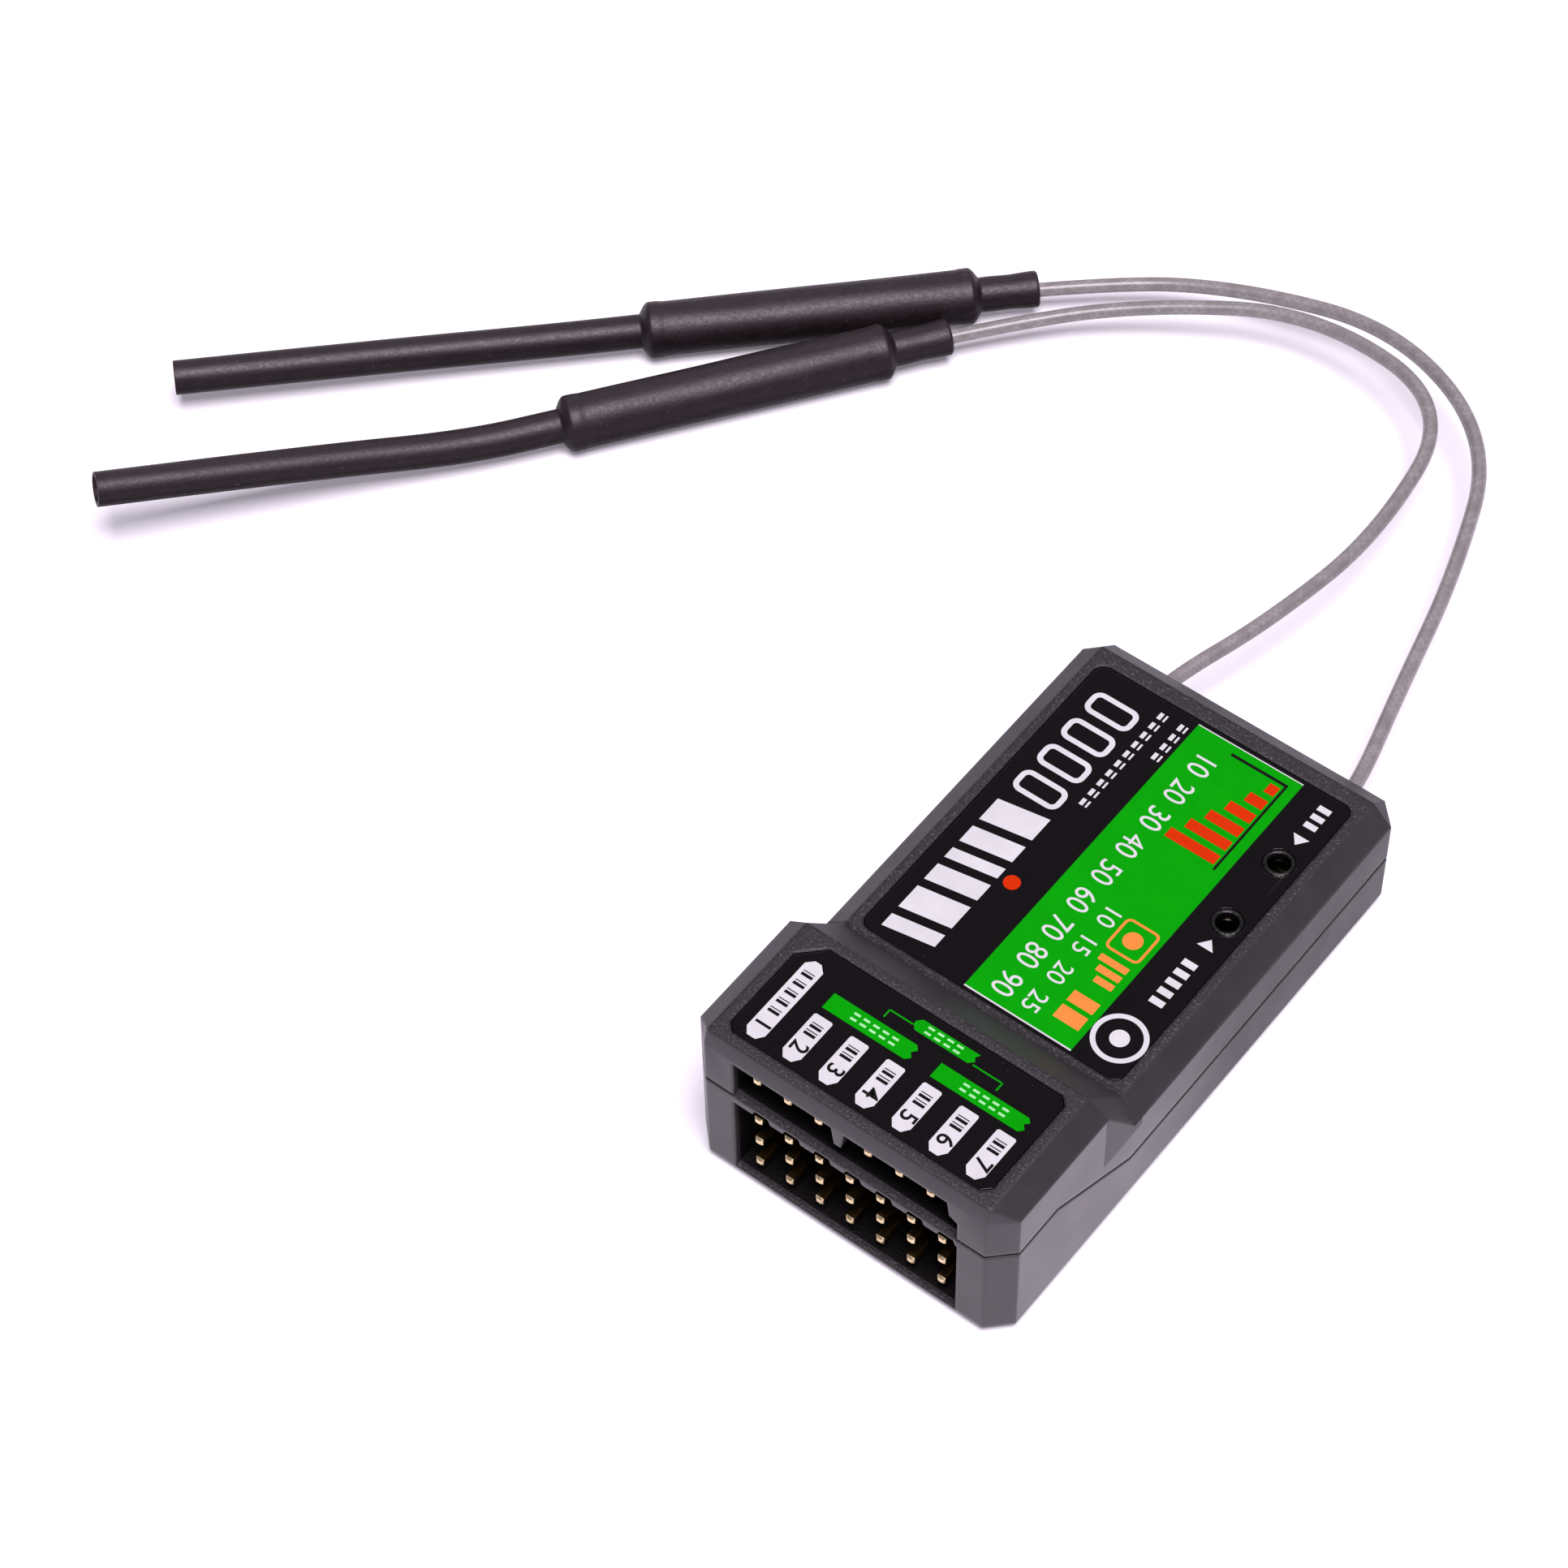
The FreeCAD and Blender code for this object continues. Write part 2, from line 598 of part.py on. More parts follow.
def upper_shell(outside, below):
    """Lid with the raised port end, both label recesses, the bus slot and its divider."""
    blank = cut("upper_blank", outside, below)
    body = shell_body("upper_shell", blank)
    recess = port_label_outline(body, "port_recess_outline", "0", FRONT_HEIGHT)
    checked_cut(pocket(body, "port_recess", recess, "Sizes.recess_depth"))
    recess = main_label_outline(body, "main_recess_outline", "0", "Sizes.deck_height")
    checked_cut(pocket(body, "main_recess", recess, "Sizes.recess_depth"))
    room = rectangle(body, "upper_room_outline", "XY_Plane", "-" + INNER_HALF, INNER_HALF,
                     CHAMBER_FRONT, INNER_REAR, MAIN_CEILING)
    checked_cut(pocket(body, "upper_room", room))
    slope_height = "(%s - Sizes.deck_height)" % FRONT_HEIGHT
    slant = "(sqrt(Sizes.step_run ^ 2 + %s ^ 2))" % slope_height
    inside_foot = "(%s - Sizes.step_wall * %s / %s - (%s - Sizes.deck_height) * Sizes.step_run / %s)" % (
        STEP_FOOT, slant, slope_height, MAIN_CEILING, slope_height)
    inside_head = "(%s - (%s - %s) * Sizes.step_run / %s)" % (inside_foot, SLOT_TOP, MAIN_CEILING, slope_height)
    chamber = polygon(body, "chamber_outline", "YZ_Plane", [
        (CHAMBER_FRONT, "Sizes.seam_rear_height"), (CHAMBER_FRONT, SLOT_TOP), (inside_head, SLOT_TOP),
        (inside_foot, MAIN_CEILING), (inside_foot, "Sizes.seam_rear_height")])
    checked_cut(pocket(body, "chamber", chamber, "%s * 2" % INNER_HALF, symmetric=True))
    shoulder = "(%s - Sizes.slot_shoulder_drop)" % SLOT_TOP
    slot = polygon(body, "slot_outline", "XZ_Plane", [
        (SLOT_LEFT, "Sizes.seam_rear_height"), (SLOT_LEFT, SLOT_TOP), (SLOT_RIGHT, SLOT_TOP),
        ("%s + Sizes.slot_shoulder_run" % SLOT_RIGHT, shoulder),
        (PORT_HALF, "%s - Sizes.slot_shoulder_fall" % shoulder),
        (PORT_HALF, "Sizes.seam_rear_height")], "-" + FRONT)
    checked_cut(pocket(body, "bus_slot", slot, "%s - %s" % (CHAMBER_FRONT, FRONT)))
    divider = polygon(body, "divider_outline", "XZ_Plane", [
        ("%s - Sizes.divider_width / 2" % DIVIDER_MIDDLE, "%s + Sizes.slot_clearance" % SLOT_TOP),
        ("%s - Sizes.divider_tip_width / 2" % DIVIDER_MIDDLE, "%s - Sizes.divider_drop" % SLOT_TOP),
        ("%s + Sizes.divider_tip_width / 2" % DIVIDER_MIDDLE, "%s - Sizes.divider_drop" % SLOT_TOP),
        ("%s + Sizes.divider_width / 2" % DIVIDER_MIDDLE, "%s + Sizes.slot_clearance" % SLOT_TOP)], "-" + FRONT)
    checked_add(pad(body, "divider", divider, "%s - %s" % (HEADER_FACE, FRONT), reversed_way=True))
    hole_places = [(HOLE_SIDE, LED_PLACE), (HOLE_SIDE, UPDATE_PLACE)]
    rings = circles(body, "ring_outline", "XY_Plane", hole_places, "Sizes.ring_outer / 2", RECESS_FLOOR)
    checked_add(pad(body, "rings", rings, "Sizes.recess_depth - Sizes.label_gap / 2"))
    holes = circles(body, "hole_outline", "XY_Plane", hole_places, "Sizes.ring_inner / 2", "Sizes.deck_height")
    checked_cut(pocket(body, "holes", holes))
    posts = circles(body, "upper_post_outline", "XY_Plane", post_places(), "Sizes.post_radius",
                    "%s + Sizes.board_play" % MAIN_BOARD_TOP)
    reach = "%s + Sizes.roof_thickness / 2 - %s - Sizes.board_play" % (MAIN_CEILING, MAIN_BOARD_TOP)
    checked_add(pad(body, "upper_posts", posts, reach))
    pegs = circles(body, "peg_outline", "XY_Plane", post_places(), "Sizes.peg_radius",
                   "%s - Sizes.peg_depth" % MAIN_BOARD_BOTTOM)
    checked_add(pad(body, "pegs", pegs, "Sizes.peg_depth + Sizes.board_thickness + Sizes.board_play"))
    lead_holes(body, "upper_lead_notches")
    return body


# The labels

def port_label_outline(body, name, gap, height):
    """Outline of the port label or its recess, with one long cut corner at the rear left."""
    half = "(%s - Sizes.port_rim - %s)" % (DECK_HALF, gap)
    near = "(%s + Sizes.nose_depth + Sizes.port_rim + %s)" % (FRONT, gap)
    far = "(%s - Sizes.port_rim - %s)" % (FRONT_DECK_END, gap)
    small = "Sizes.port_corner_cut"
    large = "Sizes.port_long_cut"
    return polygon(body, name, "XY_Plane", [
        ("-%s + %s" % (half, small), near), ("%s - %s" % (half, small), near),
        (half, "%s + %s" % (near, small)), (half, "%s - %s" % (far, small)),
        ("%s - %s" % (half, small), far), ("-%s + %s" % (half, large), far),
        ("-" + half, "%s - %s" % (far, large)), ("-" + half, "%s + %s" % (near, small))], height)


def main_label_outline(body, name, gap, height):
    """Outline of the main label or its recess: a rectangle with round corners."""
    half = "(%s - Sizes.main_side_rim - %s)" % (DECK_HALF, gap)
    near = "(%s + Sizes.main_front_rim + %s)" % (STEP_FOOT, gap)
    far = "(%s - Sizes.main_rear_rim - %s)" % (DECK_REAR, gap)
    radius = "(Sizes.main_recess_radius - %s)" % gap
    sketch = new_sketch(body, name, "XY_Plane", height)
    corners = [(half, far, 1, 1), ("-" + half, far, -1, 1), ("-" + half, near, -1, -1), (half, near, 1, -1)]
    reach = value_of(radius)
    arcs = []
    for index, (x, y, side, end) in enumerate(corners):
        middle = FreeCAD.Vector(value_of(x) - side * reach, value_of(y) - end * reach, 0)
        circle = Part.Circle(middle, FreeCAD.Vector(0, 0, 1), reach)
        start = math.radians(90 * index)
        arcs.append(sketch.addGeometry(Part.ArcOfCircle(circle, start, start + math.pi / 2), False))
    for index, arc in enumerate(arcs):
        x, y, side, end = corners[index]
        after = arcs[(index + 1) % 4]
        line = Part.LineSegment(sketch.Geometry[arc].EndPoint, sketch.Geometry[after].StartPoint)
        join = sketch.addGeometry(line, False)
        sketch.addConstraint(Sketcher.Constraint("Tangent", arc, 2, join, 1))
        sketch.addConstraint(Sketcher.Constraint("Tangent", join, 2, after, 1))
        sign_x = "-" if side > 0 else "+"
        sign_y = "-" if end > 0 else "+"
        bind_point(sketch, arc, 3, ("%s %s %s" % (x, sign_x, radius), "%s %s %s" % (y, sign_y, radius)))
    held = sketch.addConstraint(Sketcher.Constraint("Radius", arcs[0], reach))
    sketch.setExpression("Constraints[%d]" % held, radius)
    return sketch


def main_label():
    body = new_body("main_label")
    outline = main_label_outline(body, "main_label_outline", "Sizes.label_gap", RECESS_FLOOR)
    pad(body, "main_label_plate", outline, "Sizes.label_thickness")
    document.recompute()
    holes = circles(body, "label_hole_outline", "XY_Plane",
                    [(HOLE_SIDE, LED_PLACE), (HOLE_SIDE, UPDATE_PLACE)],
                    "Sizes.ring_outer / 2 + Sizes.ring_gap", "Sizes.deck_height")
    checked_cut(pocket(body, "label_holes", holes))
    return body


def port_label():
    body = new_body("port_label")
    outline = port_label_outline(body, "port_label_outline", "Sizes.label_gap", PORT_RECESS_FLOOR)
    pad(body, "port_label_plate", outline, "Sizes.label_thickness")
    return body


# Pins and headers

def pin_row(name, first, height, count):
    """Row of square pins with tapered tips, through their header base and the port board."""
    body = new_body(name)
    body.AllowCompound = True
    half = "Sizes.pin_width / 2"
    outline = rectangle(body, name + "_outline", "XZ_Plane", "%s - %s" % (first, half),
                        "%s + %s" % (first, half), "%s - %s" % (height, half), "%s + %s" % (height, half),
                        "-" + PIN_TIP)
    length = "%s + Sizes.pin_tail - %s" % (PORT_BOARD_BACK, PIN_TIP)
    bar = pad(body, name + "_bar", outline, length, reversed_way=True)
    document.recompute()
    tip = value_of(PIN_TIP)
    point = chamfer(body, name + "_point", bar, lambda edge: edge.BoundBox.YMax < tip + 0.01, "Sizes.pin_tip_cut")
    pattern = row_pattern(body, name + "_row", bar, "Sizes.pin_pitch", count)
    pattern.Originals = [bar, point]
    document.recompute()
    return body


def header_base(name, start, count, low, rows):
    """Header base: one block with a notch between neighbours, bored for its pins."""
    body = new_body(name)
    width = "%s * Sizes.pin_pitch" % count
    outline = rectangle(body, name + "_outline", "XZ_Plane", start, "%s + %s" % (start, width), low,
                        "%s + %s * Sizes.pin_pitch" % (low, rows), "-" + HEADER_FACE)
    pad(body, name + "_block", outline, "Sizes.header_thickness", reversed_way=True)
    document.recompute()
    half = "Sizes.pin_width / 2"
    sketch = new_sketch(body, name + "_pin_holes", "XZ_Plane", "-" + HEADER_FACE)
    for row in range(rows):
        x = "(%s + Sizes.pin_pitch / 2)" % start
        z = "(%s + Sizes.pin_pitch * %s)" % (low, row + 0.5)
        add_outline(sketch, [("%s - %s" % (x, half), "%s - %s" % (z, half)),
                             ("%s + %s" % (x, half), "%s - %s" % (z, half)),
                             ("%s + %s" % (x, half), "%s + %s" % (z, half)),
                             ("%s - %s" % (x, half), "%s + %s" % (z, half))])
    first = checked_cut(pocket(body, name + "_first_holes", sketch, "Sizes.header_thickness"))
    row_pattern(body, name + "_holes", first, "Sizes.pin_pitch", count)
    document.recompute()
    return body


# The boards and what they carry

def port_board():
    """Upright board behind the headers, with a hole for every pin."""
    body = new_body("port_board")
    half = "(%s - Sizes.board_side_gap)" % INNER_HALF
    outline = rectangle(body, "port_board_outline", "XZ_Plane", "-" + half, half, "Sizes.floor_thickness",
                        "%s - Sizes.board_play" % SLOT_TOP, "-" + PORT_BOARD_FACE)
    pad(body, "port_board_plate", outline, "Sizes.board_thickness", reversed_way=True)
    document.recompute()
    rows = [("servo_rows", FIRST_COLUMN, "Sizes.channel_count",
             ["Sizes.pin_row_height + Sizes.pin_pitch * %d" % row for row in range(3)]),
            ("left_bus_row", "%s + Sizes.pin_pitch / 2" % BUS_LEFT_START, "Sizes.bus_pin_count",
             [BUS_ROW_HEIGHT]),
            ("right_bus_row", "%s + Sizes.pin_pitch / 2" % BUS_RIGHT_START, "Sizes.bus_pin_count",
             [BUS_ROW_HEIGHT])]
    half = "Sizes.pin_width / 2"
    for name, x, count, heights in rows:
        sketch = new_sketch(body, name + "_outline", "XZ_Plane", "-" + PORT_BOARD_FACE)
        for z in heights:
            add_outline(sketch, [("%s - %s" % (x, half), "%s - %s" % (z, half)),
                                 ("%s + %s" % (x, half), "%s - %s" % (z, half)),
                                 ("%s + %s" % (x, half), "%s + %s" % (z, half)),
                                 ("%s - %s" % (x, half), "%s + %s" % (z, half))])
        first = checked_cut(pocket(body, name + "_first", sketch, "Sizes.board_thickness"))
        row_pattern(body, name, first, "Sizes.pin_pitch", count)
        document.recompute()
    return body


def main_board():
    """Flat board on the four posts, soldered to the back of the port board."""
    body = new_body("main_board")
    half = "(%s - Sizes.board_side_gap - Sizes.board_slot_rib - Sizes.board_play)" % INNER_HALF
    wide = "(%s - Sizes.board_side_gap)" % INNER_HALF
    shoulder = "(%s + Sizes.board_slot_rib + Sizes.board_play * 2)" % PORT_BOARD_BACK
    far = "(%s - Sizes.board_end_gap)" % INNER_REAR
    outline = polygon(body, "main_board_outline", "XY_Plane", [
        ("-" + half, PORT_BOARD_BACK), (half, PORT_BOARD_BACK), (half, shoulder), (wide, shoulder),
        (wide, far), ("-" + wide, far), ("-" + wide, shoulder), ("-" + half, shoulder)], MAIN_BOARD_BOTTOM)
    pad(body, "main_board_plate", outline, "Sizes.board_thickness")
    document.recompute()
    holes = circles(body, "board_hole_outline", "XY_Plane", post_places(),
                    "Sizes.peg_radius + Sizes.peg_clearance", MAIN_BOARD_TOP)
    checked_cut(pocket(body, "board_holes", holes, "Sizes.board_thickness"))
    return body


def shield_can():
    """Folded tin lid over the radio chip: a thin wall box, open below."""
    body = new_body("shield_can")
    half = "(Sizes.shield_width / 2)"
    near = "(%s - Sizes.shield_length / 2)" % SHIELD_PLACE
    far = "(%s + Sizes.shield_length / 2)" % SHIELD_PLACE
    outline = rectangle(body, "shield_outline", "XY_Plane", "-" + half, half, near, far, MAIN_BOARD_TOP)
    can = pad(body, "shield_block", outline, "Sizes.shield_height")
    document.recompute()
    fold = fillet(body, "shield_folds", can, lambda edge: edge.BoundBox.ZMin > value_of(MAIN_BOARD_TOP) + 0.01,
                  "Sizes.shield_sheet * 2")
    thin = "Sizes.shield_sheet"
    inside = rectangle(body, "shield_room_outline", "XY_Plane", "-%s + %s" % (half, thin), "%s - %s" % (half, thin),
                       "%s + %s" % (near, thin), "%s - %s" % (far, thin), MAIN_BOARD_TOP)
    body.Tip = fold
    checked_cut(pocket(body, "shield_room", inside, "Sizes.shield_height - %s" % thin, reversed_way=True))
    return body


def chip(name, across, along, width, length, height):
    """Flat component that sits on the main board."""
    half_width = "%s / 2" % width
    half_length = "%s / 2" % length
    return box(name, "(%s - %s)" % (across, half_width), "(%s + %s)" % (across, half_width),
               "(%s - %s)" % (along, half_length), "(%s + %s)" % (along, half_length),
               MAIN_BOARD_TOP, "(%s + %s)" % (MAIN_BOARD_TOP, height))


def board_parts():
    parts = [
        ("radio_chip", chip("radio_chip", "0", SHIELD_PLACE, "Sizes.radio_side", "Sizes.radio_side",
                            "Sizes.radio_height")),
        ("controller_chip", chip("controller_chip", "Sizes.controller_across", CONTROLLER_PLACE,
                                 "Sizes.controller_side", "Sizes.controller_side", "Sizes.controller_height")),
        ("crystal", chip("crystal", CRYSTAL_SIDE, CRYSTAL_PLACE, "Sizes.crystal_width",
                         "Sizes.crystal_length", "Sizes.crystal_height")),
        ("voltage_regulator", chip("voltage_regulator", REGULATOR_SIDE, REGULATOR_PLACE,
                                   "Sizes.regulator_width", "Sizes.regulator_length", "Sizes.regulator_height")),
        ("status_led", chip("status_led", HOLE_SIDE, LED_PLACE, "Sizes.led_width",
                            "Sizes.led_length", "Sizes.led_height")),
        ("update_pad", cylinder("update_pad", "Sizes.pad_radius", "Sizes.pad_height", HOLE_SIDE,
                                UPDATE_PLACE, MAIN_BOARD_TOP))]
    for index, name in enumerate(("input_capacitor", "output_capacitor")):
        place = "(%s + Sizes.capacitor_spacing * %d)" % (CAPACITOR_PLACE, index)
        parts.append((name, chip(name, CAPACITOR_SIDE, place, "Sizes.capacitor_width",
                                 "Sizes.capacitor_length", "Sizes.capacitor_height")))
    return parts


def coax_socket(name, across):
    return cylinder(name, "Sizes.socket_radius", "%s - %s" % (PLUG_BOTTOM, MAIN_BOARD_TOP), across,
                    PLUG_PLACE, MAIN_BOARD_TOP)


def coax_plug(name, across):
    """Round plug head that snaps over the socket, with the crimp barrel of its lead."""
    head = cylinder(name + "_head", "Sizes.plug_radius", "Sizes.plug_height", across, PLUG_PLACE,
                    PLUG_BOTTOM)
    start = "(%s + Sizes.socket_radius)" % PLUG_PLACE
    barrel = cylinder(name + "_barrel", "Sizes.plug_barrel_radius", "%s - %s" % (PLUG_END, start), across,
                      start, "Sizes.seam_rear_height", toward_rear=True)
    return fuse(name, [head, barrel])


# Antenna leads and sleeves

def bent_path(points, label):
    """Straight runs joined by tangent arcs, each as large as its two runs allow."""
    corners = [FreeCAD.Vector(*point) for point in points]
    edges = []
    start = corners[0]
    radii = []
    for before, corner, after in zip(corners, corners[1:], corners[2:]):
        inward = before - corner
        outward = after - corner
        shorter = min(inward.Length, outward.Length)
        inward.normalize()
        outward.normalize()
        turn = math.pi - inward.getAngle(outward)
        trim = RUN_SHARE * shorter
        radii.append(trim / math.tan(turn / 2))
        arc_start = corner + inward * trim
        arc_end = corner + outward * trim
        middle_way = inward + outward
        middle_way.normalize()
        to_centre = radii[-1] / math.cos(turn / 2)
        arc_middle = corner + middle_way * (to_centre - radii[-1])
        edges.append(Part.LineSegment(start, arc_start).toShape())
        edges.append(Part.Arc(arc_start, arc_middle, arc_end).toShape())
        start = arc_end
    edges.append(Part.LineSegment(start, corners[-1]).toShape())
    wire = Part.Wire(edges)
    tightest = min(radii) if radii else 0.0
    print("%s: length %.1f, smallest radius %.1f" % (label, wire.Length, tightest))
    return wire


def tube_along(wire, radius, sides=0):
    """Solid along a path, round or with a number of flat sides."""
    edge = wire.Edges[0]
    start = edge.valueAt(edge.FirstParameter)
    way = edge.tangentAt(edge.FirstParameter)
    area = math.pi * radius * radius
    profile = Part.Wire([Part.Circle(start, way, radius).toShape()])
    if sides:
        side_way = way.cross(FreeCAD.Vector(0, 0, 1))
        side_way.normalize()
        up = side_way.cross(way)
        angles = [2 * math.pi * index / sides for index in range(sides)]
        corners = [start + (side_way * math.cos(angle) + up * math.sin(angle)) * radius for angle in angles]
        area = sides / 2 * radius * radius * math.sin(2 * math.pi / sides)
        profile = Part.makePolygon(corners + corners[:1])
    solid = wire.makePipeShell([profile], True, True)
    solid = Part.Solid(solid) if solid.ShapeType == "Shell" else solid
    drift = abs(solid.Volume / (area * wire.Length) - 1)
    if drift > 0.02:
        raise ValueError("tube volume is off by %.3f" % drift)
    return solid


def shape_feature(name, shape):
    feature = document.addObject("Part::Feature", name)
    feature.Shape = shape
    return feature


def antenna(side, lead_points, sleeve_points):
    """One lead with its sleeve, the metal dipole tube and the core inside it."""
    sign = 1 if side == "right" else -1
    lead_radius = size("lead_diameter") / 2
    exit_height = size("seam_rear_height")
    across = sign * value_of(LEAD_HALF)
    sleeve_line = [FreeCAD.Vector(*point) for point in sleeve_points]
    mouth = sleeve_line[0]
    body_way = sleeve_line[1] - mouth
    body_way.normalize()
    body_start = mouth + body_way * size("collar_length")
    body_end = body_start + body_way * size("sleeve_body_length")
    lead_end = mouth + body_way * size("lead_depth_in_sleeve")
    wall_point = (across, value_of(INNER_REAR) + size("lead_run_in_wall"), exit_height)
    inner = [(across, value_of(PLUG_END), exit_height), wall_point]
    before_mouth = mouth - body_way * size("lead_run_before_sleeve")
    lead_path = bent_path(inner + lead_points + [tuple(before_mouth), tuple(lead_end)], "coax lead " + side)
    lead = shape_feature("coax_lead_" + side, tube_along(lead_path, lead_radius, LEAD_SIDES))
    sleeve = shape_feature("antenna_sleeve_" + side, sleeve_shape(mouth, body_way, sleeve_line[2:], side))
    dipole = shape_feature("dipole_tube_" + side, dipole_shape(body_way, body_start, body_end))
    core_points = [tuple(lead_end), tuple(body_end + body_way * size("tube_first_run")), tuple(sleeve_line[2])]
    core_path = bent_path(core_points, "antenna core " + side)
    core = shape_feature("antenna_core_" + side, tube_along(core_path, size("core_diameter") / 2, LEAD_SIDES))
    return [("coax_lead_" + side, lead), ("antenna_sleeve_" + side, sleeve),
            ("dipole_tube_" + side, dipole), ("antenna_core_" + side, core)]


def turned(profile, start, way):
    """Profile of (distance along, radius) points turned about a line."""
    points = [FreeCAD.Vector(radius, 0, distance) for distance, radius in profile]
    face = Part.Face(Part.makePolygon(points + [points[0]]))
    solid = face.revolve(FreeCAD.Vector(), FreeCAD.Vector(0, 0, 1), 360)
    solid.Placement = FreeCAD.Placement(start, FreeCAD.Rotation(FreeCAD.Vector(0, 0, 1), way))
    return solid


def sleeve_shape(mouth, way, tip_points, side):
    """Heat-shrink sleeve: collar, wide body with soft shoulders and a long open tube."""
    neck = size("sleeve_neck_diameter") / 2
    wide = size("sleeve_body_diameter") / 2
    wall = size("sleeve_wall")
    shoulder = size("sleeve_shoulder")
    collar = size("collar_length")
    length = size("sleeve_body_length")
    dipole = size("dipole_diameter") / 2
    inset = size("dipole_inset")
    ease = shoulder * 0.3
    turned_end = collar + length + 2 * ease
    profile = [
        (0, size("lead_diameter") / 2), (0, neck), (collar - ease, neck), (collar, neck + ease),
        (collar + shoulder - ease, wide - ease), (collar + shoulder, wide),
        (collar + length - shoulder, wide), (collar + length - shoulder + ease, wide - ease),
        (collar + length, neck + ease), (collar + length + ease, neck),
        (turned_end, neck), (turned_end, neck - wall),
        (collar + length - inset, neck - wall), (collar + length - inset, dipole),
        (collar + inset, dipole), (collar + inset, size("lead_diameter") / 2)]
    body = turned(profile, mouth, way)
    tube_start = mouth + way * turned_end
    straight_end = mouth + way * (collar + length + size("tube_first_run"))
    path = bent_path([tuple(tube_start), tuple(straight_end)] + [tuple(point) for point in tip_points],
                     "sleeve tube " + side)
    tube = tube_along(path, neck).cut(tube_along(path, neck - wall))
    return body.fuse(tube)


def dipole_shape(way, body_start, body_end):
    inset = size("dipole_inset")
    outer = size("dipole_diameter") / 2
    length = (body_end - body_start).Length - 2 * inset
    tube = Part.makeCylinder(outer, length, body_start + way * inset, way)
    bore = Part.makeCylinder(outer - size("dipole_wall"), length, body_start + way * inset, way)
    return tube.cut(bore)


def build():
    outside = common("case_outside", case_prism(), case_top())
    below = below_seam("below_split", "0")
    groove = below_seam("below_groove", "Sizes.seam_gap")
    land = seam_land()
    document.recompute()
    parts = [("lower_shell", lower_shell(outside, below, land, groove)),
             ("upper_shell", upper_shell(outside, below)),
             ("main_label", main_label()),
             ("port_label", port_label()),
             ("port_board", port_board()),
             ("main_board", main_board()),
             ("shield_can", shield_can())]
    parts += board_parts()
    low = "(Sizes.pin_row_height - Sizes.pin_pitch / 2)"
    bus_low = "(%s - Sizes.pin_pitch / 2)" % BUS_ROW_HEIGHT
    parts.append(("servo_header_base", header_base("servo_header_base", "(-%s)" % SERVO_HALF,
                                                   "Sizes.channel_count", low, 3)))
    for side, start in (("left", BUS_LEFT_START), ("right", BUS_RIGHT_START)):
        name = "bus_header_base_" + side
        parts.append((name, header_base(name, start, "Sizes.bus_pin_count", bus_low, 1)))
        name = "bus_pins_" + side
        parts.append((name, pin_row(name, "(%s + Sizes.pin_pitch / 2)" % start, BUS_ROW_HEIGHT,
                                    "Sizes.bus_pin_count")))
    for row, name in enumerate(("ground_pins", "power_pins", "signal_pins")):
        height = "(Sizes.pin_row_height + Sizes.pin_pitch * %d)" % row
        parts.append((name, pin_row(name, FIRST_COLUMN, height, "Sizes.channel_count")))
    for side, across in (("left", "-" + LEAD_HALF), ("right", LEAD_HALF)):
        parts.append(("coax_socket_" + side, coax_socket("coax_socket_" + side, across)))
        parts.append(("coax_plug_" + side, coax_plug("coax_plug_" + side, across)))
    parts += antenna("right", RIGHT_LEAD, RIGHT_SLEEVE)
    parts += antenna("left", LEFT_LEAD, LEFT_SLEEVE)
    return parts


def write(parts):
    document.recompute()
    for item in document.Objects:
        if "Invalid" in item.State or "Error" in item.State:
            raise ValueError("object did not compute: " + item.Name)
    os.makedirs("parts", exist_ok=True)
    for name, part in parts:
        part.Label = name
        if part.Shape.isNull() or not part.Shape.isValid():
            raise ValueError("shape is not valid: " + name)
    for name, part in parts:
        part.Shape.exportStep(os.path.join("parts", name + ".step"))
        print("%-22s solids %d volume %.2f" % (name, len(part.Shape.Solids), part.Shape.Volume))


write(build())
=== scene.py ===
import math

import bmesh
import bpy
from mathutils import Matrix, Vector


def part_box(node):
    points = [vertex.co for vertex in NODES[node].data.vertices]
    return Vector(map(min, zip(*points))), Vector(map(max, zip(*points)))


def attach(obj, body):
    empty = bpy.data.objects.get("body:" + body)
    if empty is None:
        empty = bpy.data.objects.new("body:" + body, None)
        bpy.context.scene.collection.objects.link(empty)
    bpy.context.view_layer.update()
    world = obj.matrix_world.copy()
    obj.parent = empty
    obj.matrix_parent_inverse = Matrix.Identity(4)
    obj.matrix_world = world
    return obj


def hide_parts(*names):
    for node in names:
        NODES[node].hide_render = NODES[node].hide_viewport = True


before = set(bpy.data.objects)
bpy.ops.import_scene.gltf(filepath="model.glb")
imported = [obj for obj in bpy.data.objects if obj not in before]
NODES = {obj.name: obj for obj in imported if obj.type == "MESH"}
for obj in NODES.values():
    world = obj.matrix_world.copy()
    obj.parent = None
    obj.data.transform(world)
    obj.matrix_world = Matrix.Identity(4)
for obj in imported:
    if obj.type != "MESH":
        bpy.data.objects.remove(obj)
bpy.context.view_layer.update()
MM = 0.001

# Camera, in degrees and millimetres, solved from the edges of the case in the photograph
CAMERA_AZIMUTH = 38.964
CAMERA_ELEVATION = 53.167
CAMERA_ROLL = -1.458
CAMERA_PLACE = (98.42, -150.37, 266.00)
CAMERA_LENS = 105.52
CAMERA_SENSOR = 36.0
CAMERA_FAR = 20000.0

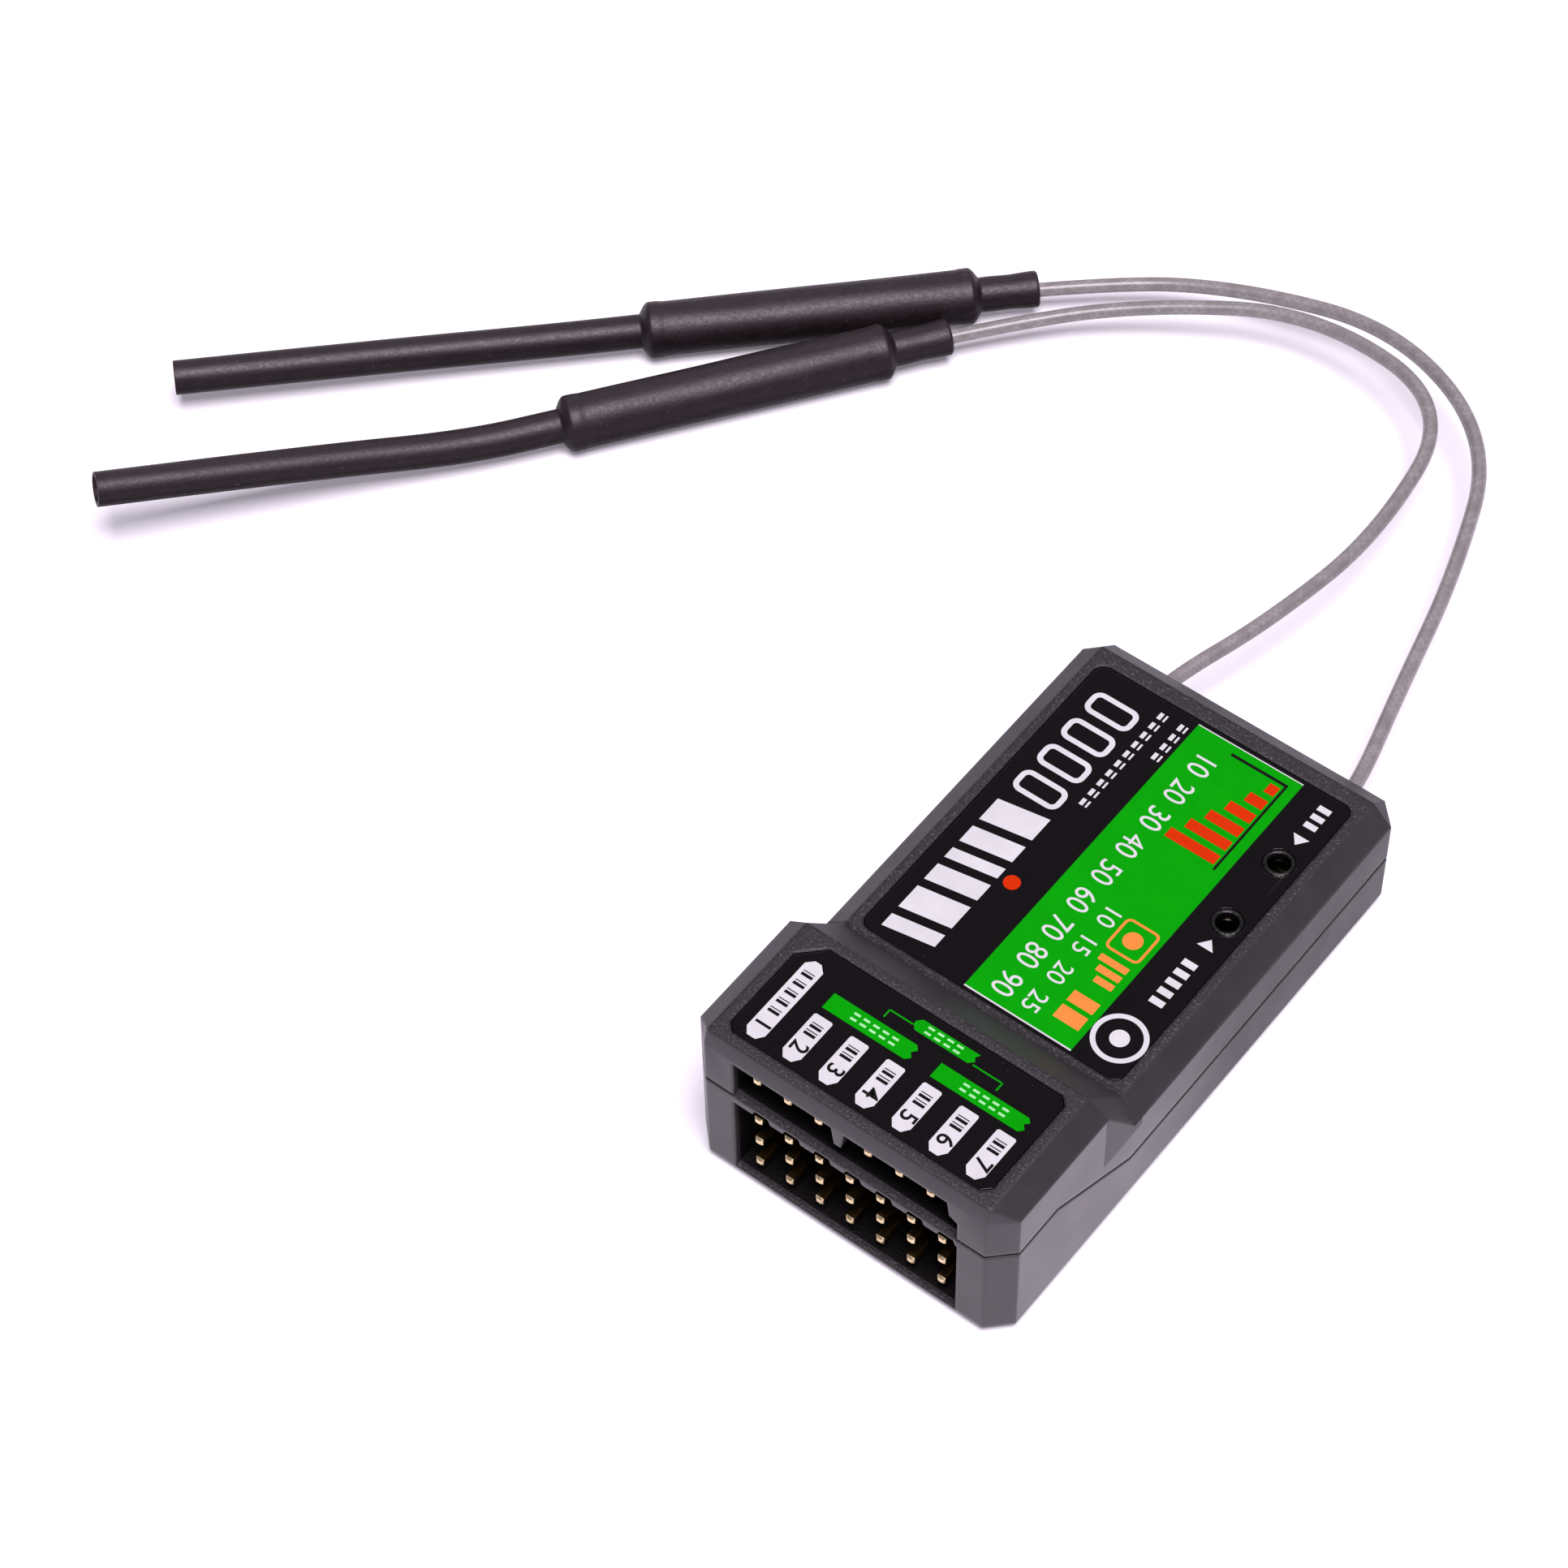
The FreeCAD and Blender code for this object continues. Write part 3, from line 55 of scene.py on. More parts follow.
# Case, in millimetres; a region is a pair of corners
HALF_WIDTH = 13.1
HALF_LENGTH = 23.5
CORNER_CUT = 1.6
HOLES = ((9.1, 13.8), (9.1, 7.55))
HOLE_REACH = 1.2
HOLE_LEVELS = (8.6, 12.0)
# The port and the gaps round the labels below get painted shade
PORT = ((-9.4, -22.95, 0.5), (9.4, -12.6, 13.6))
REAR_BEVEL = ((-14.0, 22.0, 8.0), (14.0, 24.0, 10.15))
SLOPE = ((-14.0, -12.4, 8.0), (14.0, -8.0, 15.2))
# Pins behind their tips, which get painted shade
PINS_BEHIND_TIPS = ((-13.0, -22.78, 0.0), (13.0, -10.0, 15.0))
GAP_AROUND = 0.2
GAP_BELOW = 0.1
GAP_ABOVE = 0.02

# Groove of the split between the shells, which gets painted shade: where it lies in from the walls,
# and its levels, which rise by one step at the port end
SEAM_SKIN = 0.07
SEAM_REACH = 0.7
SEAM_LOW = 4.5
SEAM_TOP = 8.6
SEAM_STEP = -12.5
SEAM_RISE = 2.4

# Edges, in millimetres and degrees: rounding in the mesh, then softening in the shading
EDGE_ROUNDING = 0.2
LABEL_ROUNDING = 0.04
PIN_ROUNDING = 0.03
HEADER_ROUNDING = 0.06
EDGE_ANGLE = 25.0
FLAT_ANGLE = 0.5
WELD_REACH = 0.0005
EDGE_SHADING = 0.42
FILM_SHADING = 0.1

# Look of the case: ranges of the surface normal, shine and roughness of each region (a pair
# runs from one end of a range to the other), and sizes of grain in millimetres
FACES_UP = (0.88, 0.97)
LEANS_BACK = (0.1, 0.4)
FACES_RIGHT = (0.8, 0.97)
UPRIGHT_FACING = (-0.6, -0.2)
SLANTED_FACING = (-0.5, -0.2)
UPRIGHT_SHINE = (0.56, 0.46)
SLANTED_SHINE = (0.32, 0.44)
RIGHT_WALL_SHINE = (0.20, 0.58)
REAR_BEVEL_SHINE = 0.16
SLOPE_SHINE = 0.30
PAINTED_SHADE_SHINE = 0.12
PORT_GLOSS_FADE = (-8.0, 4.0)
RIGHT_WALL_SHEEN_COAT = 0.28
COAT_ROUGHNESS = 0.42
WALL_ROUGHNESS = (0.38, 0.46)
DECK_ROUGHNESS = (0.60, 0.38)
SLOPE_ROUGHNESS = 0.6
RING_ROUGHNESS = 0.14
DECK_GRAIN = 0.19
FINE_GRAIN = 0.07
CLOUD_SIZE = 4.0
WALL_GRAIN_SHARE = 0.15

# Leads and sleeves, in millimetres; the sleeve runs from its mouth over a collar, a shoulder,
# the wide body and a tail to the long thin tube. A ring is a distance and a radius, a fine zone
# its middle and its reach, and the braid is scaled along the lead and round it
LEAD_DIAMETER = 1.13
COLLAR_LENGTH = 4.6
COLLAR_RADIUS = 1.36
COLLAR_FLARE = 0.06
COLLAR_RIPPLE = 0.02
FLARE_LENGTH = 2.5
SHOULDER = 0.8
BODY_LENGTH = 25.8
BODY_RADIUS = 2.2
BODY_DIP = 0.05
BODY_SINK = 0.03
BODY_END = COLLAR_LENGTH + BODY_LENGTH
TAIL_OVERLAP = 0.1
TAIL = 0.8
TUBE_RADIUS = 1.33
TUBE_WALL = 0.3
TUBE_DEPTH = 7.0
MOUTH_RINGS = [(0.45, 0.62), (0.12, 0.66), (0.0, COLLAR_RADIUS - 0.25), (0.0, COLLAR_RADIUS - 0.04)]
SLEEVE_SIDES = 48
FINE_STEP = 0.12
COARSE_STEP = 0.5
BODY_EASE = 2.0
FINE_ZONES = ((COLLAR_LENGTH + 0.5, 1.6), (BODY_END - 0.4, 1.8))
END_ZONE = 0.5
BRAID_SCALE = (84.0, 3.1416)

# Routes, in millimetres: the leads from plug to sleeve, and the line of each sleeve
RIGHT_LEAD = [
    (8.0, 19.65, 5.3), (8.0, 22.9, 5.3), (7.94, 26.3, 5.3), (5.8, 34.48, 5.39),
    (3.14, 45.9, 5.53), (-1.61, 58.63, 5.42), (-13.72, 64.74, 4.55), (-26.23, 62.29, 3.15),
    (-35.73, 57.16, 2.25), (-46.22, 46.57, 2.25)]
LEFT_LEAD = [
    (-8.0, 19.65, 5.3), (-8.0, 22.9, 5.3), (-7.82, 26.19, 5.3), (-5.31, 34.34, 5.39),
    (-3.43, 45.75, 5.53), (-5.71, 59.81, 5.68), (-19.9, 62.33, 4.52), (-30.82, 56.48, 3.32),
    (-38.91, 49.53, 2.25), (-47.63, 37.44, 2.25)]
RIGHT_SLEEVE = [
    (-39.6, 53.25, 2.25), (-61.0, 31.66, 2.25), (-66.63, 25.99, 2.25), (-75.7, 16.6, 2.7),
    (-86.5, 5.2, 3.2)]
LEFT_SLEEVE = [
    (-42.13, 45.07, 2.25), (-59.91, 20.41, 2.25), (-64.59, 13.92, 2.25), (-71.6, 4.9, 4.0),
    (-81.3, -8.6, 6.6)]

# Colours, linear
CHARCOAL = (0.0240, 0.0210, 0.0250)
# Painted shade: the black of the port, the gaps round the labels and the groove of the split
PAINTED_SHADE_BLACK = (0.0035, 0.003, 0.0035)
LABEL_BLACK = (0.0045, 0.0038, 0.0045)
INK_WHITE = (0.53, 0.53, 0.545)
INK_GREEN = (0.0015, 0.27, 0.0015)
INK_PALE_GREEN = (0.30, 0.62, 0.30)
INK_RED = (0.50, 0.024, 0.0015)
INK_ORANGE = (0.80, 0.21, 0.042)
INK_BLACK = (0.006, 0.006, 0.006)

# Studio: colours, strengths, and the reach of the floor in metres
FLOOR_GLOW_COLOUR = (0.93, 0.86, 1.0, 1.0)
FLOOR_GLOW = 0.16
FLOOR_REACH = 3.0
LAMP_COLOUR = (1.0, 0.925, 1.0)
WORLD_COLOUR = (0.93, 0.85, 1.0, 1.0)
WORLD_STRENGTH = 0.2

# How far a film shines: the inks, and the black film of the labels
INK_SHINE = 0.12
FILM_SHINE = 0.2

# Prints: lift over the label and step between two layers in millimetres, the font size of a
# number that is 1 high, and the sides of a disc and of a round corner
PRINT_LIFT = 0.012
PRINT_STEP = 0.006
FONT_SIZE = 1.38
DISC_SIDES = 40
CORNER_SIDES = 6

# Port label: the row of tags, their ticks and numbers, then the ribbons and their marks, each
# row of marks being (start, y, count)
TAG_COUNT = 7
TAG_PITCH = 2.98
TAG_MIDDLE = 0.04
TAG_HALF = 0.76
TAG_NEAR = -21.8
TAG_FAR = -17.75
TAG_SOFT = 0.12
TAG_CUT = (0.42, 0.55)
LONG_TAG_FAR = -14.5
LONG_TAG_SOFT = 0.5
TAG_NUMBER_PLACE = -20.55
TAG_NUMBER_TALL = 1.3
TAG_NUMBER_BOLD = 0.02
TICK_HALF = 0.46
TICK_STROKES = ((0.0, 0.24), (0.36, 0.44))
TICKS = (-19.5, -18.85)
LONG_TAG_TICKS = (-19.5, -18.6, -17.7, -16.8, -15.9)
RIBBONS = [
    [(-6.6, -17.15), (0.15, -17.15), (0.5, -16.8), (0.2, -16.45), (0.5, -16.1), (0.2, -15.75),
     (-6.6, -15.75)],
    [(2.3, -17.2), (9.35, -17.2), (9.65, -16.85), (9.35, -16.5), (9.65, -16.2), (9.35, -15.9),
     (2.3, -15.9)],
    [(-1.0, -14.55), (-0.65, -14.9), (3.65, -14.9), (4.0, -14.55), (3.8, -14.25), (4.0, -13.9),
     (-0.65, -13.9), (-1.0, -14.25)]]
RIBBON_LINES = (
    (-2.96, -2.84, -15.3, -14.6), (-2.9, -1.0, -14.66, -14.54),
    (4.0, 6.4, -14.86, -14.74), (6.34, 6.46, -15.5, -14.74))
RIBBON_MARKS = ((-4.6, -16.45, 5), (4.4, -16.55, 5), (-0.05, -14.4, 4))
RIBBON_MARK_PITCH = 0.78
RIBBON_MARK_LENGTH = 0.5
RIBBON_MARK_REACH = (0.14, 0.32)

# Main label: the green band between its edges, then the marks on both sides and on it.
# Rectangles are (left, right, near, far), with the corner radius and the line of a frame after
# them; FRAME_ROWS is (start, pitch, count), a dash column (x, start, end), a dash group (left,
# right, starts, length), and a scale (name, numbers, x, start, pitch, height, width factor)
BAND = (-2.1, 6.72)
BAND_MARGIN = 0.34
BAND_END_WIDTHS = (0.3, 0.65)
# Margins of the thin white edge, which is partly a painted highlight
WHITE_EDGE_MARGINS = (0.25, 0.6, 0.22, 0.25)
FRAME_SIDES = (-9.55, -5.65)
FRAME_TALL = 2.1
FRAME_ROWS = (18.6, 2.85, 4)
FRAME_CORNER = 0.75
FRAME_LINE = 0.42
LEANING_SIDES = (-9.5, -5.5)
LEANING_START = 6.6
LEANING_WIDTHS = (2.2, 1.6, 1.0, 1.6, 2.2, 1.2)
LEANING_GAP = 0.72
LEANING_SLANT = 0.7
DASH_COLUMNS = ((-4.65, 19.6, 9.6), (-2.95, 19.6, 14.9))
DASH_STROKES = ((-0.16, 0.16), (0.34, 0.5))
DASH_LENGTH = 0.62
DASH_GAP = 0.42
ARROWS = [
    [(8.45, 16.55), (9.75, 16.55), (9.1, 15.7)],
    [(8.45, 4.85), (9.1, 5.7), (9.75, 4.85)]]
REAR_DASHES = (8.6, 9.6, (19.6, 18.75, 17.9), 0.5)
FRONT_DASHES = (8.5, 9.6, tuple(3.4 - 0.95 * row for row in range(5)), 0.55)
RING_MARK = (8.75, -4.6)
RING_MARK_RADII = (2.0, 1.62, 0.7)
SCALES = (
    ("scale_number", range(10, 100, 10), 0.05, 17.5, 2.88, 1.75, 0.85),
    ("short_scale_number", range(10, 30, 5), 2.4, 3.1, 2.9, 1.4, 0.95))
RED_DOT = (-4.5, 1.4, 0.62)
GAUGE_BARS = 6
GAUGE_RIGHT = 5.6
GAUGE_LEFT = 4.79
GAUGE_GROWTH = 0.66
GAUGE_START = 19.1
GAUGE_PITCH = 1.45
GAUGE_THICKNESS = 0.9
GAUGE_BASE = ((5.75, 5.95, 10.6, 19.4), (1.2, 5.95, 19.4, 19.65))
ORANGE_FRAME = (3.5, 6.3, 0.9, 3.9, 0.5, 0.2)
ORANGE_DISC = (4.9, 2.4, 0.72)
ORANGE_BARS = (
    (3.8, 6.1, -0.2, 0.35), (4.2, 6.1, -1.05, -0.5), (4.6, 6.1, -1.9, -1.35),
    (4.1, 6.2, -4.2, -3.2), (4.1, 6.2, -5.8, -4.6))


# Materials

def new_material(name):
    material = bpy.data.materials.new(name)
    material.use_nodes = True
    return material, material.node_tree, material.node_tree.nodes["Principled BSDF"]


def add(tree, kind, **values):
    node = tree.nodes.new(kind)
    for key, value in values.items():
        setattr(node, key, value)
    return node


def feed(tree, node, values):
    """Set or connect inputs of a node."""
    for name, value in values.items():
        if isinstance(value, (int, float, tuple)):
            node.inputs[name].default_value = value
        else:
            tree.links.new(value, node.inputs[name])


def object_place(tree):
    return add(tree, "ShaderNodeTexCoord").outputs["Object"]


def surface_normal(tree):
    return add(tree, "ShaderNodeNewGeometry").outputs["Normal"]


def axes_of(tree, vector):
    """The X, Y and Z of a vector."""
    node = add(tree, "ShaderNodeSeparateXYZ")
    feed(tree, node, {"Vector": vector})
    return node.outputs


def noise(tree, place, grain, detail=3.0, roughness=0.6):
    """Noise whose features measure about grain millimetres."""
    node = add(tree, "ShaderNodeTexNoise")
    feed(tree, node, {"Vector": place, "Scale": 1.0 / (grain * MM), "Detail": detail,
                      "Roughness": roughness})
    return node.outputs["Fac"]


def ramp(tree, source, stops):
    """Colour ramp over a factor; stops are (position, colour)."""
    node = add(tree, "ShaderNodeValToRGB")
    elements = node.color_ramp.elements
    while len(elements) < len(stops):
        elements.new(0.5)
    for element, (position, colour) in zip(elements, stops):
        element.position = position
        element.color = tuple(colour) + (1.0,)
    feed(tree, node, {"Fac": source})
    return node.outputs["Color"]


def span(tree, source, low, high, out_low=0.0, out_high=1.0):
    """Map a value range onto another one, clamped."""
    node = add(tree, "ShaderNodeMapRange")
    feed(tree, node, {"Value": source, "From Min": low, "From Max": high, "To Min": out_low,
                      "To Max": out_high})
    return node.outputs["Result"]


def mottled(tree, cloud, dark, light):
    """Colour that drifts between two shades with a noise."""
    return ramp(tree, cloud, [(0.3, dark), (0.7, light)])


def drifting(tree, cloud, low, high):
    """Value that drifts between two limits with a noise."""
    return span(tree, cloud, 0.3, 0.7, low, high)


def calculate(tree, operation, first, second):
    node = add(tree, "ShaderNodeMath", operation=operation)
    for socket, value in zip(node.inputs, (first, second)):
        if isinstance(value, (int, float)):
            socket.default_value = value
        else:
            tree.links.new(value, socket)
    return node.outputs["Value"]


def combine(tree, operation, values):
    """Fold a list of values with one operation."""
    result = values[0]
    for value in values[1:]:
        result = calculate(tree, operation, result, value)
    return result


def under(tree, length, limit):
    """1 where a length is under a limit in millimetres, else 0."""
    return calculate(tree, "LESS_THAN", length, limit * MM)


def over(tree, length, limit):
    """1 where a length is over a limit in millimetres, else 0."""
    return calculate(tree, "GREATER_THAN", length, limit * MM)


def bump(tree, height, depth, strength=1.0, below=None):
    """Bump of the given depth in millimetres."""
    node = add(tree, "ShaderNodeBump")
    feed(tree, node, {"Height": height, "Strength": strength, "Distance": depth * MM})
    if below is not None:
        feed(tree, node, {"Normal": below})
    return node.outputs["Normal"]


def within(tree, place, low, high):
    """1 inside a box given in millimetres, 0 outside it."""
    axes = axes_of(tree, place)
    tests = []
    for axis, near, far in zip("XYZ", low, high):
        tests += [over(tree, axes[axis], near), under(tree, axes[axis], far)]
    return combine(tree, "MULTIPLY", tests)


def seam_groove(tree, place):
    """1 inside the groove of the split between the shells, 0 on the walls that it runs round."""
    axes = axes_of(tree, place)
    across = calculate(tree, "ABSOLUTE", axes["X"], 0.0)
    along = calculate(tree, "ABSOLUTE", axes["Y"], 0.0)
    corner = calculate(tree, "ADD", across, along)
    cut = HALF_WIDTH + HALF_LENGTH - CORNER_CUT
    behind_walls = combine(tree, "MULTIPLY", [
        under(tree, across, HALF_WIDTH - SEAM_SKIN),
        under(tree, along, HALF_LENGTH - SEAM_SKIN),
        under(tree, corner, cut - 1.5 * SEAM_SKIN)])
    near_walls = combine(tree, "MAXIMUM", [
        over(tree, across, HALF_WIDTH - SEAM_REACH),
        over(tree, corner, cut - SEAM_REACH),
        over(tree, axes["Y"], HALF_LENGTH - SEAM_REACH)])
    rise = calculate(tree, "MULTIPLY", under(tree, axes["Y"], SEAM_STEP), SEAM_RISE * MM)
    top = calculate(tree, "ADD", rise, SEAM_TOP * MM)
    return combine(tree, "MULTIPLY", [
        behind_walls, near_walls, calculate(tree, "LESS_THAN", axes["Z"], top),
        over(tree, axes["Z"], SEAM_LOW)])


def label_gap(tree, place, label):
    """1 on the walls of the recess that holds a label, just below their upper edge."""
    low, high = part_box(label)
    return within(
        tree, place,
        (low.x / MM - GAP_AROUND, low.y / MM - GAP_AROUND, low.z / MM - GAP_BELOW),
        (high.x / MM + GAP_AROUND, high.y / MM + GAP_AROUND, high.z / MM + GAP_ABOVE))


def hole_ring(tree, place, x, y):
    """1 on the ring and the upper wall of a hole in the deck."""
    low, high = HOLE_LEVELS
    return within(tree, place, (x - HOLE_REACH, y - HOLE_REACH, low),
                  (x + HOLE_REACH, y + HOLE_REACH, high))


def blended(tree, factor, first, second, kind="RGBA"):
    """Mix of two colours or values by a factor."""
    node = add(tree, "ShaderNodeMix", data_type=kind)
    sockets = [socket for socket in node.inputs if socket.enabled]
    tree.links.new(factor, sockets[0])
    for socket, value in zip(sockets[1:], (first, second)):
        if isinstance(value, tuple):
            socket.default_value = value + (1.0,)
        elif isinstance(value, float):
            socket.default_value = value
        else:
            tree.links.new(value, socket)
    return next(socket for socket in node.outputs if socket.enabled)


def soft_edges(tree, radius):
    """Normals that round off every edge over a radius in millimetres."""
    node = add(tree, "ShaderNodeBevel", samples=8)
    feed(tree, node, {"Radius": radius * MM})
    return node.outputs["Normal"]


def scaled(colour, factor):
    return tuple(channel * factor for channel in colour)


def housing_shine(tree, place, facing, right_side, near_port, slope):
    """Specular level of the case, set by the way each face faces: a painted sheen that makes the
    right wall glossier near the port and less glossy at the rear.
    """
    # painted sheen: faces shine more or less by their facing, in place of light from the right
    upright = span(tree, facing["X"], *UPRIGHT_FACING, *UPRIGHT_SHINE)
    slanted = span(tree, facing["X"], *SLANTED_FACING, *SLANTED_SHINE)
    shine = blended(tree, span(tree, facing["Z"], *LEANS_BACK), upright, slanted, "FLOAT")
    right_wall = span(tree, near_port, 0.0, 1.0, *RIGHT_WALL_SHINE)
    shine = blended(tree, right_side, shine, right_wall, "FLOAT")
    shine = blended(tree, within(tree, place, *REAR_BEVEL), shine, REAR_BEVEL_SHINE, "FLOAT")
    return blended(tree, slope, shine, SLOPE_SHINE, "FLOAT")


def housing_plastic():
    """Spark-eroded grain on everything that faces up, satin on the walls, and painted shade, a
    black, in the port, the gaps round the labels and the groove of the split.
    """
    material, tree, shader = new_material("housing_plastic")
    place = object_place(tree)
    facing = axes_of(tree, surface_normal(tree))
    deck = span(tree, facing["Z"], *FACES_UP)
    right_side = span(tree, facing["X"], *FACES_RIGHT)
    fade_start, fade_end = PORT_GLOSS_FADE
    near_port = span(tree, axes_of(tree, place)["Y"], fade_start * MM, fade_end * MM, 1.0, 0.0)
    slope = within(tree, place, *SLOPE)
    grain = noise(tree, place, DECK_GRAIN, detail=2.0)
    fine = noise(tree, place, FINE_GRAIN, detail=2.0)
    cloud = noise(tree, place, CLOUD_SIZE)

    # Rings are glossy black; the port, the gaps round the labels and the groove of the split get
    # painted shade, a black with low shine
    rings = combine(tree, "MAXIMUM", [hole_ring(tree, place, x, y) for x, y in HOLES])
    gaps = combine(tree, "MAXIMUM", [label_gap(tree, place, label)
                                     for label in ("main_label", "port_label")])
    painted_shade = combine(tree, "MAXIMUM", [
        within(tree, place, *PORT), calculate(tree, "SUBTRACT", gaps, rings),
        seam_groove(tree, place)])

    speckled = ramp(tree, grain, [
        (0.40, scaled(CHARCOAL, 0.4)), (0.58, scaled(CHARCOAL, 0.72)),
        (0.72, scaled(CHARCOAL, 3.2))])
    plain = mottled(tree, cloud, scaled(CHARCOAL, 0.9), scaled(CHARCOAL, 1.12))
    tint = blended(tree, deck, plain, speckled)
    # painted shade: black in the port, the gaps round the labels and the groove of the split
    tint = blended(tree, painted_shade, tint, PAINTED_SHADE_BLACK)
    tint = blended(tree, rings, tint, LABEL_BLACK)

    rough_deck = span(tree, grain, 0.35, 0.7, *DECK_ROUGHNESS)
    rough = blended(tree, deck, drifting(tree, cloud, *WALL_ROUGHNESS), rough_deck, "FLOAT")
    rough = blended(tree, slope, rough, SLOPE_ROUGHNESS, "FLOAT")
    rough = blended(tree, rings, rough, RING_ROUGHNESS, "FLOAT")

    shine = housing_shine(tree, place, facing, right_side, near_port, slope)
    # painted sheen: a coat on the right wall near the port
    coat = calculate(tree, "MULTIPLY", right_side, near_port)
    share = span(tree, deck, 0.0, 1.0, WALL_GRAIN_SHARE, 1.0)
    height = calculate(tree, "MULTIPLY", grain, share)
    coarse = bump(tree, height, depth=0.06, below=soft_edges(tree, EDGE_SHADING))
    relief = bump(tree, fine, depth=0.01, below=coarse)
    feed(tree, shader, {
        "Base Color": tint,
        "Roughness": rough,
        "Normal": relief,
        "Specular IOR Level": blended(tree, painted_shade, shine, PAINTED_SHADE_SHINE, "FLOAT"),
        "Coat Weight": calculate(tree, "MULTIPLY", coat, RIGHT_WALL_SHEEN_COAT),
        "Coat Roughness": COAT_ROUGHNESS,
        "Coat Normal": relief})
    return material


def glossy_film(name, colour, shine=INK_SHINE):
    """Printed film under a clear gloss: an even colour with faint wear and fine scuffs."""
    material, tree, shader = new_material(name)
    place = object_place(tree)
    cloud = noise(tree, place, grain=2.5, detail=6.0, roughness=0.7)
    tint = mottled(tree, cloud, scaled(colour, 0.93), scaled(colour, 1.05))
    dust = span(tree, noise(tree, place, grain=0.22, detail=2.0), 0.70, 0.78)
    dusty = tuple(0.85 * channel + 0.025 for channel in colour)
    scuff = noise(tree, place, grain=0.6, detail=5.0, roughness=0.75)
    ripple = noise(tree, place, grain=1.4, detail=1.0)
    feed(tree, shader, {
        "Base Color": blended(tree, dust, tint, dusty),
        "Roughness": span(tree, scuff, 0.4, 0.8, 0.09, 0.22),
        "Normal": bump(tree, ripple, depth=0.015, strength=0.5,
                       below=soft_edges(tree, FILM_SHADING)),
        "Specular IOR Level": shine})
    return material


def gold_plate():
    """Gold, bright at the tips of the pins, with painted shade that darkens what lies deep in the
    port.
    """
    material, tree, shader = new_material("gold_plate")
    place = object_place(tree)
    cloud = noise(tree, place, grain=0.5, detail=4.0)
    tint = mottled(tree, cloud, (0.66, 0.50, 0.27), (0.88, 0.74, 0.48))
    # painted shade: a dark brown on the pins behind their tips
    deep = within(tree, place, *PINS_BEHIND_TIPS)
    feed(tree, shader, {
        "Base Color": blended(tree, deep, tint, (0.10, 0.062, 0.02)),
        "Metallic": 1.0,
        "Roughness": drifting(tree, cloud, 0.3, 0.45),
        "Normal": bump(tree, noise(tree, place, grain=0.1), depth=0.006)})
    return material


def moulded(name, colour, roughness):
    """Plain moulded or cast surface with a faint grain."""
    material, tree, shader = new_material(name)
    place = object_place(tree)
    cloud = noise(tree, place, grain=1.5, detail=4.0)
    feed(tree, shader, {
        "Base Color": mottled(tree, cloud, scaled(colour, 0.8), scaled(colour, 1.2)),
        "Roughness": drifting(tree, cloud, roughness - 0.06, roughness + 0.06),
        "Normal": bump(tree, noise(tree, place, grain=0.12), depth=0.01)})
    return material


def tinned_sheet(name, colour):
    """Bright metal with a faint, uneven surface."""
    material, tree, shader = new_material(name)
    cloud = noise(tree, object_place(tree), grain=0.8, detail=5.0)
    feed(tree, shader, {
        "Base Color": mottled(tree, cloud, scaled(colour, 0.85), scaled(colour, 1.1)),
        "Metallic": 1.0,
        "Roughness": drifting(tree, cloud, 0.25, 0.4),
        "Normal": bump(tree, cloud, depth=0.01)})
    return material


def shrink_tube():
    """Heat-shrink tube: brown black and satin, with a fine grain and pale specks; painted shade
    cuts its shine towards the underside, so the lower side is darker.
    """
    material, tree, shader = new_material("shrink_tube")
    place = object_place(tree)
    cloud = noise(tree, place, grain=1.6, detail=6.0, roughness=0.75)
    grain = noise(tree, place, grain=0.34, detail=4.0, roughness=0.75)
    specks = span(tree, noise(tree, place, grain=0.4, detail=2.0), 0.68, 0.78)
    tint = ramp(tree, cloud, [(0.34, (0.0055, 0.0032, 0.0042)), (0.66, (0.0125, 0.0080, 0.0098))])
    broad = bump(tree, noise(tree, place, grain=2.2, detail=2.0), depth=0.02)
    # painted shade: less shine on faces that point down
    upward = axes_of(tree, surface_normal(tree))["Z"]
    feed(tree, shader, {
        "Base Color": blended(tree, specks, tint, (0.045, 0.036, 0.041)),
        "Roughness": drifting(tree, grain, 0.58, 0.39),
        "Normal": bump(tree, grain, depth=0.03, below=broad),
        "Specular Tint": (1.0, 0.90, 0.95, 1.0),
        "Specular IOR Level": span(tree, upward, 0.0, 0.85, 0.08, 0.54)})
    return material


def braid_strands(tree, direction):
    """Slanted bands round and along the lead, leaning one way or the other."""
    mapping = add(tree, "ShaderNodeMapping")
    coordinates = add(tree, "ShaderNodeTexCoord").outputs["UV"]
    along, around = BRAID_SCALE
    feed(tree, mapping, {"Vector": coordinates, "Scale": (along, around * direction, 1.0)})
    wave = add(tree, "ShaderNodeTexWave", wave_type="BANDS", bands_direction="DIAGONAL")
    feed(tree, wave, {"Vector": mapping.outputs["Vector"], "Scale": 1.0, "Distortion": 0.0})
    return wave.outputs["Fac"]


def coax_jacket():
    """Clear grey jacket, through which the crossing strands of the braid show as light dashes,
    partly the braid itself and partly a painted glint.
    """
    material, tree, shader = new_material("coax_jacket")
    weave = calculate(tree, "MAXIMUM", braid_strands(tree, 1.0), braid_strands(tree, -1.0))
    cloud = noise(tree, object_place(tree), grain=1.1, detail=4.0)
    # partly painted glint: lighter colour where the braid strands cross
    glint = calculate(tree, "MULTIPLY", span(tree, weave, 0.86, 1.0), span(tree, cloud, 0.42, 0.6))
    tint = mottled(tree, cloud, (0.165, 0.153, 0.153), (0.215, 0.20, 0.20))
    feed(tree, shader, {
        "Base Color": blended(tree, glint, tint, (0.26, 0.25, 0.25)),
        "Roughness": 0.4,
        "Coat Weight": 0.3,
        "Coat Roughness": 0.2,
        "Normal": bump(tree, weave, depth=0.006)})
    return material


